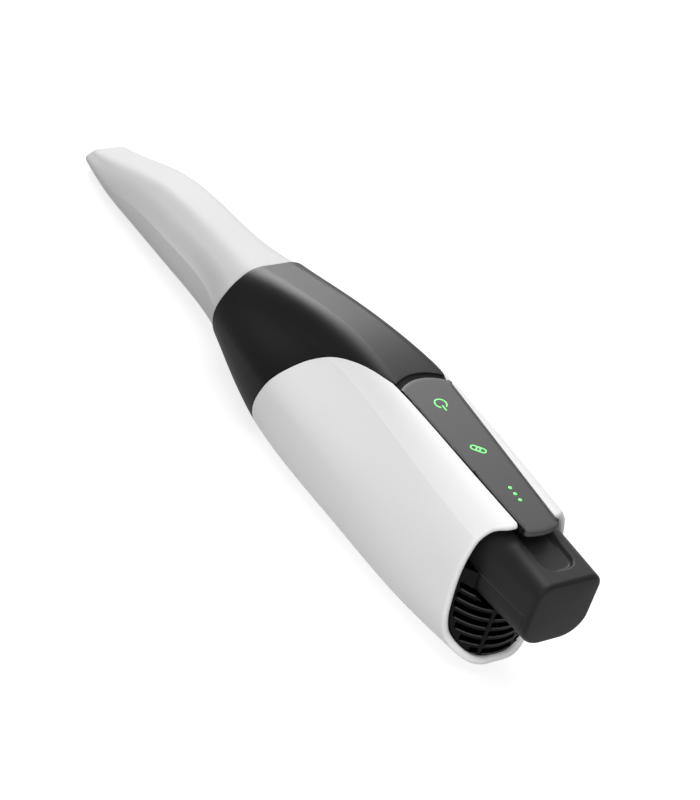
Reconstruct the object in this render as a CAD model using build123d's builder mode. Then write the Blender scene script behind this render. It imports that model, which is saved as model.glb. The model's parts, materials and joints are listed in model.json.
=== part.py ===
"""Cordless intraoral scanner: white grip, black neck, pull-off scanning sleeve and pull-out battery pack.

Millimetres. +X runs to the scanning tip, +Y to the left side, +Z up. The origin is under the middle of the
grip, on the flat it rests on.
"""

import os
from dataclasses import dataclass, replace
from math import cos, radians, sin

from build123d import *

os.makedirs("parts", exist_ok=True)

# Walls and clearances
shell_wall = 2.4
sleeve_wall = 1.4
seam_gap = 0.2  # between two mouldings that meet edge to edge
slide_gap = 0.35  # round a piece that is pulled out by hand
fit_gap = 0.05  # radial, for lenses, pins and rods in their bores
rest_gap = 0.2  # between a piece and the moulded wall that it lies against
end_gap = 0.4  # between a moving piece and what it stops short of

# Height of the grip's crown, which the key panel lies level with
grip_top = 56.0


@dataclass
class Section:
    """One cross-section of a housing: crown, shoulder, crease, side, waist, belly and sole."""

    station: float
    crown: float  # half-width of the flat on top
    top: float
    crease_out: float
    crease_up: float
    waist_out: float  # greatest half-width
    waist_up: float
    sole: float  # half-width of the flat underneath
    bottom: float
    fullness: float  # how square the belly's corner is
    shoulder_start: float  # slopes, in degrees below level
    shoulder_end: float
    side_start: float
    side_end: float = 90.0


# The grip and the neck are one flowing form, from the rear rim to the neck's front ring
body_sections = [
    Section(-60, 5.6, grip_top, 15.9, grip_top - 7.4, 17.8, 22.0, 3.0, 4.2, 0.55, 0, 56, 68),
    Section(-25, 6.3, grip_top, 16.3, grip_top - 7.3, 21.2, 24.0, 5.5, -0.3, 0.58, 0, 56, 68),
    Section(5, 7.6, grip_top, 15.2, grip_top - 7.5, 23.0, 25.0, 6.5, -0.4, 0.63, 6, 54, 66),
    Section(35, 5.8, grip_top - 2.6, 14.0, grip_top - 10.4, 24.3, 25.5, 7.0, -0.4, 0.68, 14, 52, 60),
    Section(57, 5.2, 48.2, 13.7, 39.9, 23.6, 24.5, 6.5, 0.3, 0.68, 8, 52, 56),
    Section(89, 5.0, 37.9, 14.2, 32.2, 18.9, 21.2, 5.0, 5.0, 0.52, 3, 52, 52),
]
# The sleeve has a flat side below a crease that fades towards the tip
sleeve_sections = [
    Section(89, 5.0, 37.2, 13.6, 32.0, 18.1, 21.5, 5.0, 5.7, 0.52, 3, 48, 48, 76),
    Section(103, 4.0, 33.8, 11.1, 29.6, 14.4, 20.5, 5.0, 5.4, 0.62, 3, 46, 46, 64),
    Section(130, 4.0, 29.8, 9.8, 25.8, 13.2, 18.0, 5.0, 3.9, 0.62, 3, 46, 46, 64),
    Section(155, 4.0, 24.8, 9.6, 21.5, 13.0, 14.5, 5.0, 2.6, 0.60, 3, 46, 46, 70),
    Section(175, 4.0, 17.0, 9.2, 14.4, 12.2, 9.0, 5.0, 2.2, 0.58, 3, 46, 46, 82),
    Section(191, 4.0, 10.2, 7.6, 8.6, 9.8, 5.8, 4.5, 2.2, 0.58, 3, 46, 46, 88),
    Section(198, 4.0, 7.6, 6.8, 6.6, 8.6, 4.8, 4.5, 2.2, 0.58, 3, 46, 46, 90),
]
ring_station = body_sections[-1].station
tip_station = sleeve_sections[-1].station

# Side view of the white shell: its front edge sweeps down from the panel, its rear rim ends in a lip underneath
shell_front = [
    (3.0, grip_top + 1.5),
    (8.4, grip_top + 0.1),
    (27.0, grip_top - 4.8),
    (42.0, 39.6),
    (51.5, 18.0),
    (54.5, -1.0),
]
shell_rim = [
    (-57.6, grip_top + 1.5),
    (-55.9, grip_top - 0.4),
    (-52.2, grip_top - 1.9),
    (-50.3, grip_top - 4.7),
    (-49.7, grip_top - 10.0),
    (-50.2, 30.0),
    (-51.6, 16.0),
    (-53.8, 9.6),
    (-58.6, 5.0),
    (-62.5, -1.0),
]

# Key panel
panel_rear = -56.8
panel_front = 9.3
panel_rear_half_width = 6.2
panel_front_half_width = 9.0
panel_thickness = 1.5
panel_top = grip_top
panel_end_bow = 1.0  # how far the rear end is bowed in plan
panel_ledge = 1.2  # ledge in the shell that the panel lies on
panel_edge = 0.5  # rounding of the panel's rear lip
icon_depth = 0.6
icon_stroke = 0.45
icon_radius = 2.1
link_length = 3.4
link_width = 2.3
link_shift = 0.6
power_station = -2.4
link_station = -23.0
dots_station = -42.5
dot_radius = 0.55
dot_pitch = 2.6
keypad_thickness = 1.0
led_length = 1.6
led_height = 0.7

# Battery pack
battery_rear = -75.0
battery_step = -46.0  # where the wide end meets the narrow stick
battery_front = 0.0
battery_top = grip_top - 4.3
battery_end_bottom = battery_top - 23.5
battery_step_bottom = battery_top - 25.3
battery_end_half_width = 11.3
battery_step_half_width = 13.0
battery_stick_half_width = 10.8
battery_stick_top = battery_top - 3.3
battery_stick_bottom = battery_top - 23.5
battery_stick_corner = 3.0
battery_end_corner = 6.0
battery_end_belly = 8.0
battery_step_corner = 8.4
battery_edge = 1.3
battery_cap = 2.6  # depth of the end cap beyond the tray
parting_rear_up = battery_top - 11.9
parting_step_up = battery_top - 14.7
parting_gap = 0.15
thumb_width = 11.0
thumb_rear = -69.5
thumb_corner = 4.0
thumb_depth = 1.3
cell_radius = 9.0
cell_length = 65.0
cell_front = -4.0
contact_count = 4
contact_pitch = 4.0
contact_up = battery_top - 8.7
contact_width = 2.4
contact_height = 5.0
contact_thickness = 0.5
pin_radius = 0.6
pin_gap = 0.1

# Bay, grille and fan
bay_wall = 1.2
bulkhead_thickness = 2.0
grille_apex = -58.0
grille_radius = 20.0
grille_wall = 1.8
grille_skirt = 1.4
grille_top = 38.0
slot_height = 2.4
slot_pitch = 3.7
slot_rows = 7
slot_lowest = 9.4
slot_corner = 0.5
slot_dip = 16.0  # how far the slots slope down to the rear, in degrees
slot_margin = 1.4  # frame left round the slots
rib_offset = 5.6
rib_width = 1.3
fan_size = 20.0
fan_corner = 3.0
fan_depth = 8.0
fan_up = 15.0
fan_wall = 0.8
fan_tip_gap = 0.4
fan_hub_radius = 4.2
fan_blades = 7
fan_blade_thickness = 0.8
fan_blade_tilt = 35.0
fan_spider = 1.2
fan_arm_width = 1.6
fan_pin_radius = 1.0

# Chassis, boards and heat sink
chassis_thickness = 2.0
chassis_half_width = 6.0
chassis_rear = -31.0
chassis_front = 46.0
board_thickness = 1.6
board_rear = -32.0
board_front = 18.0
board_half_width = 13.0
board_up = 23.4
processor_rear = -24.0
processor_front = -10.0
processor_half_width = 7.0
processor_height = 1.5
sink_rear = -31.0
sink_front = -3.0
sink_half_width = 9.5
sink_base = 2.0
fin_count = 7
fin_thickness = 1.0
post_radius = 2.4
post_stations = (2.0, 11.0)
post_out = 3.5
screw_radius = 1.0
screw_length = 8.0
screw_head_radius = 1.9
screw_head = 1.2

# Optics on the axis of the snout
axis_up = 14.0
snout_radius = 6.6
snout_bore = 5.4
snout_front = 140.0
neck_front_wall = 3.0
seat_length = 13.0  # of the collar that carries the sleeve
seal_thickness = 0.8
seal_inset = 0.25
bench_rear = 20.0
bench_top = 27.0
bench_thickness = 2.0
bench_half_width = 12.0
bench_plate = 2.5
bench_middle = 50.0
bench_screw_out = 8.5
bench_screw_up = 22.5
screw_bite = 2.0
foot_length = 5.0
bench_clear = 7.6  # height of the lower edge of the plates in the neck
rod_radius = 1.25
rod_out = 10.5
carriage_rear = 66.0
carriage_depth = 6.0
carriage_radius = 7.4
ear_radius = 2.6
focus_travel = 5.0
lens_radius = 5.2
lens_thickness = 3.0
lens_bulge = 1.0
coil_radius = 7.4
coil_wall = 1.4
magnet_radius = 9.0
magnet_bore = 7.9
cube_size = 12.0
cube_rear = 30.0
sensor_board_size = 15.0
sensor_size = 8.0
sensor_thickness = 1.6
led_module_size = 10.0

# Window and mirror at the sleeve's tip
tip_wall = 3.0
window_rear = 171.0
window_front = 188.0
window_half_width = 5.0
window_thickness = 0.7
window_ledge = 0.7
mirror_rear = 170.0
mirror_front = 188.0
mirror_rear_up = 15.2
mirror_front_up = 8.2
mirror_half_width = 5.5
mirror_thickness = 1.0
mirror_margin = 0.6

# Places that follow from the sizes above
floor_up = body_sections[2].bottom + shell_wall
chassis_bottom = floor_up + 2 * rest_gap
chassis_top = chassis_bottom + chassis_thickness
bulkhead_rear = battery_step + slide_gap
bulkhead_front = bulkhead_rear + bulkhead_thickness
bulkhead_top = panel_top - panel_thickness - keypad_thickness - led_height - rest_gap
fan_front = bulkhead_front + fan_depth
fan_bore = fan_size / 2 - fan_wall
bay_front = battery_front + slide_gap
bay_block = bay_front + bay_wall
neck_wall_rear = ring_station - neck_front_wall
bench_front = neck_wall_rear
magnet_rear = bench_middle + bench_plate
drive_length = carriage_rear - focus_travel - end_gap - magnet_rear  # of the coil and of its magnet
seat_front = ring_station + seat_length
sleeve_rear = ring_station + seal_thickness + pin_gap
panel_underside = panel_top - panel_thickness
keypad_underside = panel_underside - keypad_thickness
grille_axis = grille_apex + grille_radius
board_top = board_up + board_thickness
sink_top = board_up - processor_height
bench_underside = bench_top - bench_thickness
cube_top = axis_up + cube_size / 2
battery_middle_up = (battery_stick_top + battery_stick_bottom) / 2
contact_outs = [(index - (contact_count - 1) / 2) * contact_pitch for index in range(contact_count)]
contact_span = contact_count * contact_pitch
post_places = [(station, side * post_out) for station in post_stations for side in (-1, 1)]
foot_rear = bench_rear - foot_length
foot_top = chassis_top + bench_thickness
foot_places = [(bench_rear - foot_length / 2, side * post_out) for side in (-1, 1)]
bench_holes = [(side * bench_screw_out, bench_screw_up) for side in (-1, 1)]


def slope(angle):
    """Unit vector across the section that falls outwards at this angle."""
    return Vector(cos(radians(angle)), -sin(radians(angle)))


def shrunk(section, inset):
    """The same cross-section, this far inside its surface."""
    return replace(
        section,
        top=section.top - inset,
        crease_out=section.crease_out - 0.75 * inset,
        crease_up=section.crease_up - 0.66 * inset,
        waist_out=section.waist_out - inset,
        bottom=section.bottom + inset,
    )


def outline(section, plane=None):
    """Closed face of one cross-section, on the plane across its station unless another is given."""
    s = section
    crown = Vector(s.crown, s.top)
    crease = Vector(s.crease_out, s.crease_up)
    waist = Vector(s.waist_out, s.waist_up)
    sole = Vector(s.sole, s.bottom)
    shoulder_pull = 0.4 * (crease - crown).length
    side_pull = (waist - crease).length / 3
    shoulder = [crown, crown + slope(s.shoulder_start) * shoulder_pull,
                crease - slope(s.shoulder_end) * shoulder_pull, crease]
    side = [crease, crease + slope(s.side_start) * side_pull,
            waist - slope(s.side_end) * side_pull, waist]
    belly = [waist, waist - Vector(0, s.fullness * (s.waist_up - s.bottom)),
             sole + Vector(s.fullness * (s.waist_out - s.sole), 0), sole]
    with BuildSketch(plane or Plane.YZ.offset(s.station)) as face:
        with BuildLine():
            for curve in (shoulder, side, belly):
                Bezier(*curve)
                Bezier(*[Vector(-point.X, point.Y) for point in curve])
            Line((-s.crown, s.top), (s.crown, s.top))
            Line((-s.sole, s.bottom), (s.sole, s.bottom))
        make_face()
    return face.sketch


def form(sections, inset=0.0):
    """Smooth solid through these cross-sections, this far inside their surface."""
    with BuildPart() as solid:
        loft(sections=[outline(shrunk(section, inset)) for section in sections])
    return solid.part


def rounded(station, half_width, top, bottom, top_radius, bottom_radius):
    """Upright rectangle across a station, with its own corner radii at the top and at the bottom."""
    with BuildSketch(Plane.YZ.offset(station)) as face:
        with Locations((0, (top + bottom) / 2)):
            Rectangle(2 * half_width, top - bottom)
        fillet(face.vertices().group_by(Axis.Y)[-1], top_radius)
        fillet(face.vertices().group_by(Axis.Y)[0], bottom_radius)
    return face.sketch


def bar(rear, front, half_width, bottom, top):
    """Plain block between two stations."""
    with BuildPart() as block:
        with Locations(((rear + front) / 2, 0, (bottom + top) / 2)):
            Box(front - rear, 2 * half_width, top - bottom)
    return block.part


def rod(rear, front, radius, up=axis_up, out=0.0):
    """Round bar along X between two stations."""
    with BuildPart() as round_bar:
        with BuildSketch(Plane.YZ.offset(rear)):
            with Locations((out, up)):
                Circle(radius)
        extrude(amount=front - rear)
    return round_bar.part


def lens(rear, radius):
    """Lens bulged on both faces, with a straight rim that begins at this station."""
    ball = (radius ** 2 + lens_bulge ** 2) / (2 * lens_bulge)
    reach = ball - lens_bulge - lens_thickness / 2
    with BuildPart(Plane((rear + lens_thickness / 2, 0, axis_up), z_dir=(1, 0, 0))) as glass:
        Cylinder(radius, lens_thickness + 2 * lens_bulge)
        for side in (-1, 1):
            with Locations((0, 0, side * reach)):
                Sphere(ball, mode=Mode.INTERSECT)
    return glass.part


def battery_end(gap):
    """Rear end of the battery pack, this far outside its surface."""
    return rounded(battery_rear - gap, battery_end_half_width + gap, battery_top + gap, battery_end_bottom - gap,
                   battery_end_corner + gap, battery_end_belly + gap)


def battery_shoulder(gap):
    """Battery pack's section at its step, this far outside its surface."""
    return rounded(battery_step, battery_step_half_width + gap, battery_top + gap, battery_step_bottom - gap,
                   battery_step_corner + gap, battery_end_belly + gap)


def battery_way(gap):
    """Space that the battery pack's wide end sweeps as it is pulled out, with this much clearance."""
    with BuildPart() as way:
        extrude(battery_shoulder(gap), amount=slide_gap)
        extrude(battery_shoulder(gap), amount=battery_rear - battery_step)
    return way.part


def battery_stick(station, gap):
    """Section of the stick that goes into the bay, this far outside its surface."""
    return rounded(station, battery_stick_half_width + gap, battery_stick_top + gap, battery_stick_bottom - gap,
                   battery_stick_corner + gap, battery_stick_corner + gap)


# Forms that several pieces share
body_form = form(body_sections)
body_hollow = form(body_sections, shell_wall)
lining_form = form(body_sections, shell_wall + rest_gap)
sleeve_form = form(sleeve_sections)
sleeve_hollow = form(sleeve_sections, sleeve_wall)
sleeve_seat_form = form(sleeve_sections, sleeve_wall + slide_gap)

with BuildSketch(Plane.XY.offset(panel_top)) as panel_plan:
    with BuildLine():
        Line((panel_front, -panel_front_half_width), (panel_front, panel_front_half_width))
        Line((panel_front, panel_front_half_width), (panel_rear, panel_rear_half_width))
        Line((panel_front, -panel_front_half_width), (panel_rear, -panel_rear_half_width))
        ThreePointArc(
            (panel_rear, panel_rear_half_width),
            (panel_rear - panel_end_bow, 0),
            (panel_rear, -panel_rear_half_width),
        )
    make_face()

# Grip shell: hollow, open at both ends, with a slot for the panel and a flat to rest on
with BuildSketch(Plane.XZ) as shell_side:
    with BuildLine():
        Spline(*shell_front)
        Spline(*shell_rim)
        Line(shell_front[0], shell_rim[0])
        Line(shell_front[-1], shell_rim[-1])
    make_face()

with BuildPart() as grip_shell:
    add(body_form)
    extrude(shell_side.sketch, amount=60, both=True, mode=Mode.INTERSECT)
    split(bisect_by=Plane.XY, keep=Keep.TOP)
    add(body_hollow, mode=Mode.SUBTRACT)
    with BuildSketch(Plane.XY.offset(panel_underside)):
        add(panel_plan.sketch_local)
        offset(amount=seam_gap)
    extrude(amount=10, mode=Mode.SUBTRACT)
    with BuildSketch(Plane.XY.offset(panel_underside - 10)):
        add(panel_plan.sketch_local)
        offset(amount=-panel_ledge)
    extrude(amount=20, mode=Mode.SUBTRACT)
grip_shell.part.label = "grip_shell"
export_step(grip_shell.part, "parts/grip_shell.step")

# Neck housing: the same form ahead of the shell, with the collar that carries the sleeve
with BuildSketch(Plane.XZ) as neck_side:
    ahead = [(x + seam_gap, z) for x, z in shell_front]
    with BuildLine():
        Spline(*ahead)
        Polyline(ahead[0], (ring_station, ahead[0][1]), (ring_station, ahead[-1][1]), ahead[-1])
    make_face()

with BuildPart() as neck_hollow:
    add(body_hollow)
    split(bisect_by=Plane.YZ.offset(neck_wall_rear), keep=Keep.BOTTOM)

with BuildPart() as sleeve_seat:
    add(sleeve_seat_form)
    split(bisect_by=Plane.YZ.offset(seat_front), keep=Keep.BOTTOM)

with BuildPart() as neck_housing:
    add(body_form)
    extrude(neck_side.sketch, amount=60, both=True, mode=Mode.INTERSECT)
    add(neck_hollow.part, mode=Mode.SUBTRACT)
    add(sleeve_seat.part)
    add(rod(neck_wall_rear, seat_front, snout_radius + fit_gap), mode=Mode.SUBTRACT)
    with BuildSketch(Plane.XY.offset(panel_underside)):
        add(panel_plan.sketch_local)
        offset(amount=seam_gap)
    extrude(amount=10, mode=Mode.SUBTRACT)
    for out, up in bench_holes:
        add(rod(neck_wall_rear, neck_wall_rear + screw_bite, screw_radius, up, out), mode=Mode.SUBTRACT)
neck_housing.part.label = "neck_housing"
export_step(neck_housing.part, "parts/neck_housing.step")

# Rubber seal on the neck's ring face, behind the sleeve's edge
with BuildPart() as neck_seal:
    with BuildSketch(Plane.YZ.offset(ring_station)):
        add(outline(shrunk(sleeve_sections[0], seal_inset), Plane.XY))
        add(outline(shrunk(sleeve_sections[0], sleeve_wall), Plane.XY), mode=Mode.SUBTRACT)
    extrude(amount=seal_thickness)
neck_seal.part.label = "neck_seal"
export_step(neck_seal.part, "parts/neck_seal.step")

# Key panel with three lit signs let into it
with BuildSketch(Plane.XY.offset(panel_top - icon_depth)) as power_sign:
    with Locations((power_station, 0)):
        Circle(icon_radius)
        Circle(icon_radius - icon_stroke, mode=Mode.SUBTRACT)
    with Locations((power_station - icon_radius, 0)):
        Rectangle(2 * icon_radius, 4 * icon_stroke, mode=Mode.SUBTRACT)
        Rectangle(1.1 * icon_radius, icon_stroke)

with BuildSketch(Plane.XY.offset(panel_top - icon_depth)) as link_sign:
    for side in (-1, 1):
        with BuildSketch(mode=Mode.PRIVATE) as link_ring:
            with Locations((link_station + side * link_shift, side * link_shift)):
                SlotOverall(link_length, link_width, rotation=45)
                SlotOverall(link_length - 2 * icon_stroke, link_width - 2 * icon_stroke, rotation=45, mode=Mode.SUBTRACT)
        add(link_ring.sketch)

with BuildSketch(Plane.XY.offset(panel_top - icon_depth)) as charge_sign:
    with Locations((dots_station, 0)):
        with GridLocations(dot_pitch, 1, 3, 1):
            Circle(dot_radius)

with BuildPart() as key_panel:
    extrude(panel_plan.sketch, amount=-panel_thickness)
    rear_lip = key_panel.faces().sort_by(Axis.Z)[-1].edges().sort_by(Axis.X)[0]
    fillet(rear_lip, panel_edge)
    for sign in (power_sign, link_sign, charge_sign):
        extrude(sign.sketch, amount=2 * icon_depth, mode=Mode.SUBTRACT)
key_panel.part.label = "key_panel"
export_step(key_panel.part, "parts/key_panel.step")

with BuildPart() as power_light:
    extrude(power_sign.sketch, amount=icon_depth)
power_light.part.label = "power_light"
export_step(power_light.part, "parts/power_light.step")

with BuildPart() as link_light:
    extrude(link_sign.sketch, amount=icon_depth)
link_light.part.label = "link_light"
export_step(link_light.part, "parts/link_light.step")

with BuildPart() as charge_lights:
    extrude(charge_sign.sketch, amount=icon_depth)
charge_lights.part.label = "charge_lights"
export_step(charge_lights.part, "parts/charge_lights.step")

with BuildPart() as keypad_board:
    with BuildSketch(Plane.XY.offset(keypad_underside)):
        add(panel_plan.sketch_local)
        offset(amount=-panel_ledge - seam_gap)
    extrude(amount=keypad_thickness)
keypad_board.part.label = "keypad_board"
export_step(keypad_board.part, "parts/keypad_board.step")

led_stations = [power_station, link_station]
led_stations += [dots_station + step * dot_pitch for step in (-1, 0, 1)]
with BuildPart() as status_leds:
    for station in led_stations:
        with Locations((station, 0, keypad_underside - led_height / 2)):
            Box(led_length, led_length, led_height)
status_leds.part.label = "status_leds"
export_step(status_leds.part, "parts/status_leds.step")

# Battery pack: cover with end cap, tray, cell and contacts
with BuildPart() as battery_form:
    loft(sections=[battery_end(0.0), battery_shoulder(0.0)])
    cap_edges = battery_form.faces().sort_by(Axis.X)[0].edges()
    fillet(cap_edges, battery_edge)
    extrude(battery_stick(battery_step, 0.0), amount=battery_front - battery_step)

with BuildSketch(Plane.XZ) as tray_side:
    drop = (parting_step_up - parting_rear_up) / (battery_step - battery_rear)
    tray_rear = battery_rear + battery_cap
    tray_front_up = parting_rear_up + drop * (battery_front - battery_rear)
    with BuildLine():
        Polyline(
            (tray_rear, parting_rear_up + drop * battery_cap),
            (battery_front, tray_front_up),
            (battery_front, 0),
            (tray_rear, 0),
            close=True,
        )
    make_face()

with BuildPart() as cell_space:
    add(rod(cell_front - cell_length, cell_front, cell_radius + fit_gap, battery_middle_up))

with BuildPart() as battery_tray:
    add(battery_form.part)
    extrude(tray_side.sketch, amount=60, both=True, mode=Mode.INTERSECT)
    add(cell_space.part, mode=Mode.SUBTRACT)
battery_tray.part.label = "battery_tray"
export_step(battery_tray.part, "parts/battery_tray.step")

with BuildPart() as battery_cover:
    add(battery_form.part)
    with BuildSketch(Plane.XZ):
        add(tray_side.sketch_local)
        offset(amount=parting_gap, kind=Kind.INTERSECTION)
    extrude(amount=60, both=True, mode=Mode.SUBTRACT)
    add(cell_space.part, mode=Mode.SUBTRACT)
    with BuildSketch(Plane.XY.offset(battery_top - thumb_depth)):
        with Locations(((thumb_rear + battery_step) / 2, 0)):
            RectangleRounded(battery_step - thumb_rear + 2 * thumb_corner, thumb_width, thumb_corner)
    extrude(amount=10, taper=-20, mode=Mode.SUBTRACT)
    for out in contact_outs:
        with Locations((battery_front - contact_thickness / 2, out, contact_up)):
            Box(contact_thickness, contact_width, contact_height, mode=Mode.SUBTRACT)
battery_cover.part.label = "battery_cover"
export_step(battery_cover.part, "parts/battery_cover.step")

with BuildPart() as battery_cell:
    add(rod(cell_front - cell_length, cell_front, cell_radius, battery_middle_up))
    fillet(battery_cell.edges().filter_by(GeomType.CIRCLE), battery_edge)
battery_cell.part.label = "battery_cell"
export_step(battery_cell.part, "parts/battery_cell.step")

with BuildPart() as battery_contacts:
    for out in contact_outs:
        with Locations((battery_front - contact_thickness / 2, out, contact_up)):
            Box(contact_thickness, contact_width, contact_height)
battery_contacts.part.label = "battery_contacts"
export_step(battery_contacts.part, "parts/battery_contacts.step")

# Bay: bulkhead across the rear of the grip and the tunnel that takes the battery's stick
with BuildPart() as bulkhead_slice:
    add(lining_form)
    split(bisect_by=Plane.YZ.offset(bulkhead_rear), keep=Keep.TOP)
    split(bisect_by=Plane.YZ.offset(bulkhead_front), keep=Keep.BOTTOM)
    split(bisect_by=Plane.XY.offset(bulkhead_top), keep=Keep.BOTTOM)

with BuildPart() as battery_bay:
    add(bulkhead_slice.part)
    extrude(battery_stick(bulkhead_rear, slide_gap + bay_wall), amount=bay_block - bulkhead_rear)
    extrude(battery_stick(bulkhead_rear, slide_gap), amount=bay_front - bulkhead_rear, mode=Mode.SUBTRACT)
    add(rod(bulkhead_rear, bulkhead_front, fan_bore, fan_up), mode=Mode.SUBTRACT)
    with Locations(((bay_front + bay_block) / 2, 0, contact_up)):
        Box(bay_wall, contact_span, contact_height, mode=Mode.SUBTRACT)
battery_bay.part.label = "battery_bay"
export_step(battery_bay.part, "parts/battery_bay.step")

with BuildPart() as contact_block:
    add(bar(bay_block, bay_block + 2 * bulkhead_thickness, contact_span / 2 + bay_wall,
            contact_up - contact_height, contact_up + contact_height))
    for out in contact_outs:
        add(rod(bay_block, bay_block + 2 * bulkhead_thickness, pin_radius, contact_up, out), mode=Mode.SUBTRACT)
contact_block.part.label = "contact_block"
export_step(contact_block.part, "parts/contact_block.step")

with BuildPart() as contact_pins:
    for out in contact_outs:
        add(rod(battery_front + pin_gap, bay_block + 2 * bulkhead_thickness, pin_radius, contact_up, out))
contact_pins.part.label = "contact_pins"
export_step(contact_pins.part, "parts/contact_pins.step")

# Fan grille: a bulged wall with a skirt, slotted in rows between upright ribs
with BuildPart() as grille_bulge:
    with BuildSketch(Plane.XY):
        with Locations((grille_axis, 0)):
            Circle(grille_radius)
    extrude(amount=grille_top)

with BuildPart() as grille_inside:
    with BuildSketch(Plane.XY):
        with Locations((grille_axis, 0)):
            Circle(grille_radius - grille_wall)
    extrude(amount=grille_top)
    add(form(body_sections, shell_wall + rest_gap + grille_skirt), mode=Mode.INTERSECT)

with BuildPart() as grille_space:
    add(grille_inside.part)
    add(battery_way(slide_gap + grille_skirt), mode=Mode.SUBTRACT)

slot_outs = (-2 * rib_offset, 0.0, 2 * rib_offset)
with BuildSketch(Plane.YZ.offset(grille_apex).rotated((-slot_dip, 0, 0))) as grille_slots:
    for row in range(slot_rows):
        for out in slot_outs:
            with Locations((out, slot_lowest + row * slot_pitch)):
                RectangleRounded(2 * rib_offset - rib_width, slot_height, slot_corner)
    add(outline(shrunk(body_sections[0], shell_wall + rest_gap + slot_margin), Plane.XY), mode=Mode.INTERSECT)

with BuildPart() as fan_grille:
    add(lining_form)
    split(bisect_by=Plane.YZ.offset(bulkhead_rear), keep=Keep.BOTTOM)
    add(grille_bulge.part, mode=Mode.INTERSECT)
    add(battery_way(slide_gap), mode=Mode.SUBTRACT)
    add(grille_space.part, mode=Mode.SUBTRACT)
    extrude(grille_slots.sketch, amount=bulkhead_rear - grille_apex - grille_wall, mode=Mode.SUBTRACT)
fan_grille.part.label = "fan_grille"
export_step(fan_grille.part, "parts/fan_grille.step")

# Fan behind the bulkhead: frame with a three-armed spider, rotor and pin
with BuildPart() as fan_frame:
    with BuildSketch(Plane.YZ.offset(bulkhead_front)):
        with Locations((0, fan_up)):
            RectangleRounded(fan_size, fan_size, fan_corner)
            Circle(fan_bore, mode=Mode.SUBTRACT)
    extrude(amount=fan_depth)
    with BuildSketch(Plane.YZ.offset(fan_front - fan_spider)):
        with Locations((0, fan_up)):
            Circle(fan_hub_radius)
            with PolarLocations(fan_bore / 2, 3):
                Rectangle(fan_bore + fan_wall, fan_arm_width)
            Circle(fan_pin_radius, mode=Mode.SUBTRACT)
    extrude(amount=fan_spider)
fan_frame.part.label = "fan_frame"
export_step(fan_frame.part, "parts/fan_frame.step")

rotor_depth = fan_depth - fan_spider - 2 * end_gap
rotor_station = bulkhead_front + end_gap + rotor_depth / 2
rotor_radius = fan_bore - fan_tip_gap
with BuildPart(Plane((rotor_station, 0, fan_up), x_dir=(0, 1, 0), z_dir=(1, 0, 0))) as fan_rotor:
    with PolarLocations(rotor_radius / 2, fan_blades):
        Box(rotor_radius, fan_blade_thickness, rotor_depth, rotation=(fan_blade_tilt, 0, 0))
    Cylinder(rotor_radius, rotor_depth, mode=Mode.INTERSECT)
    Cylinder(fan_hub_radius, rotor_depth)
    Cylinder(fan_pin_radius + fit_gap, rotor_depth, mode=Mode.SUBTRACT)
fan_rotor.part.label = "fan_rotor"
export_step(fan_rotor.part, "parts/fan_rotor.step")

with BuildPart() as fan_pin:
    add(rod(bulkhead_front + end_gap, fan_front, fan_pin_radius, fan_up))
fan_pin.part.label = "fan_pin"
export_step(fan_pin.part, "parts/fan_pin.step")

# Chassis on the shell's floor, with posts for the main board
with BuildPart() as chassis:
    add(bar(chassis_rear, chassis_front, chassis_half_width, chassis_bottom, chassis_top))
    fillet(chassis.edges().filter_by(Axis.Z), post_radius)
    with BuildSketch(Plane.XY.offset(chassis_top)):
        with Locations(*post_places):
            Circle(post_radius)
    extrude(amount=board_up - chassis_top)
    with BuildSketch(Plane.XY.offset(board_up)):
        with Locations(*post_places):
            Circle(screw_radius)
    extrude(amount=board_thickness - screw_length, mode=Mode.SUBTRACT)
    with BuildSketch(Plane.XY.offset(chassis_top)):
        with Locations(*foot_places):
            Circle(screw_radius)
    extrude(amount=-chassis_thickness, mode=Mode.SUBTRACT)
chassis.part.label = "chassis"
export_step(chassis.part, "parts/chassis.step")

with BuildPart() as heat_sink:
    add(bar(sink_rear, sink_front, sink_half_width, sink_top - sink_base, sink_top))
    fin_height = sink_top - sink_base - chassis_top
    fin_pitch = (2 * sink_half_width - fin_thickness) / (fin_count - 1)
    with Locations(((sink_rear + sink_front) / 2, 0, chassis_top + fin_height / 2)):
        with GridLocations(1, fin_pitch, 1, fin_count):
            Box(sink_front - sink_rear, fin_thickness, fin_height)
heat_sink.part.label = "heat_sink"
export_step(heat_sink.part, "parts/heat_sink.step")

with BuildPart() as processor:
    add(bar(processor_rear, processor_front, processor_half_width, sink_top, board_up))
processor.part.label = "processor"
export_step(processor.part, "parts/processor.step")

with BuildPart() as main_board:
    add(bar(board_rear, board_front, board_half_width, board_up, board_top))
    with BuildSketch(Plane.XY.offset(board_up)):
        with Locations(*post_places):
            Circle(screw_radius)
    extrude(amount=board_thickness, mode=Mode.SUBTRACT)
main_board.part.label = "main_board"
export_step(main_board.part, "parts/main_board.step")

with BuildPart() as board_screws:
    with BuildSketch(Plane.XY.offset(board_top)):
        with Locations(*post_places):
            Circle(screw_head_radius)
    extrude(amount=screw_head)
    with BuildSketch(Plane.XY.offset(board_top)):
        with Locations(*post_places):
            Circle(screw_radius)
    extrude(amount=-screw_length)
board_screws.part.label = "board_screws"
export_step(board_screws.part, "parts/board_screws.step")

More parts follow.
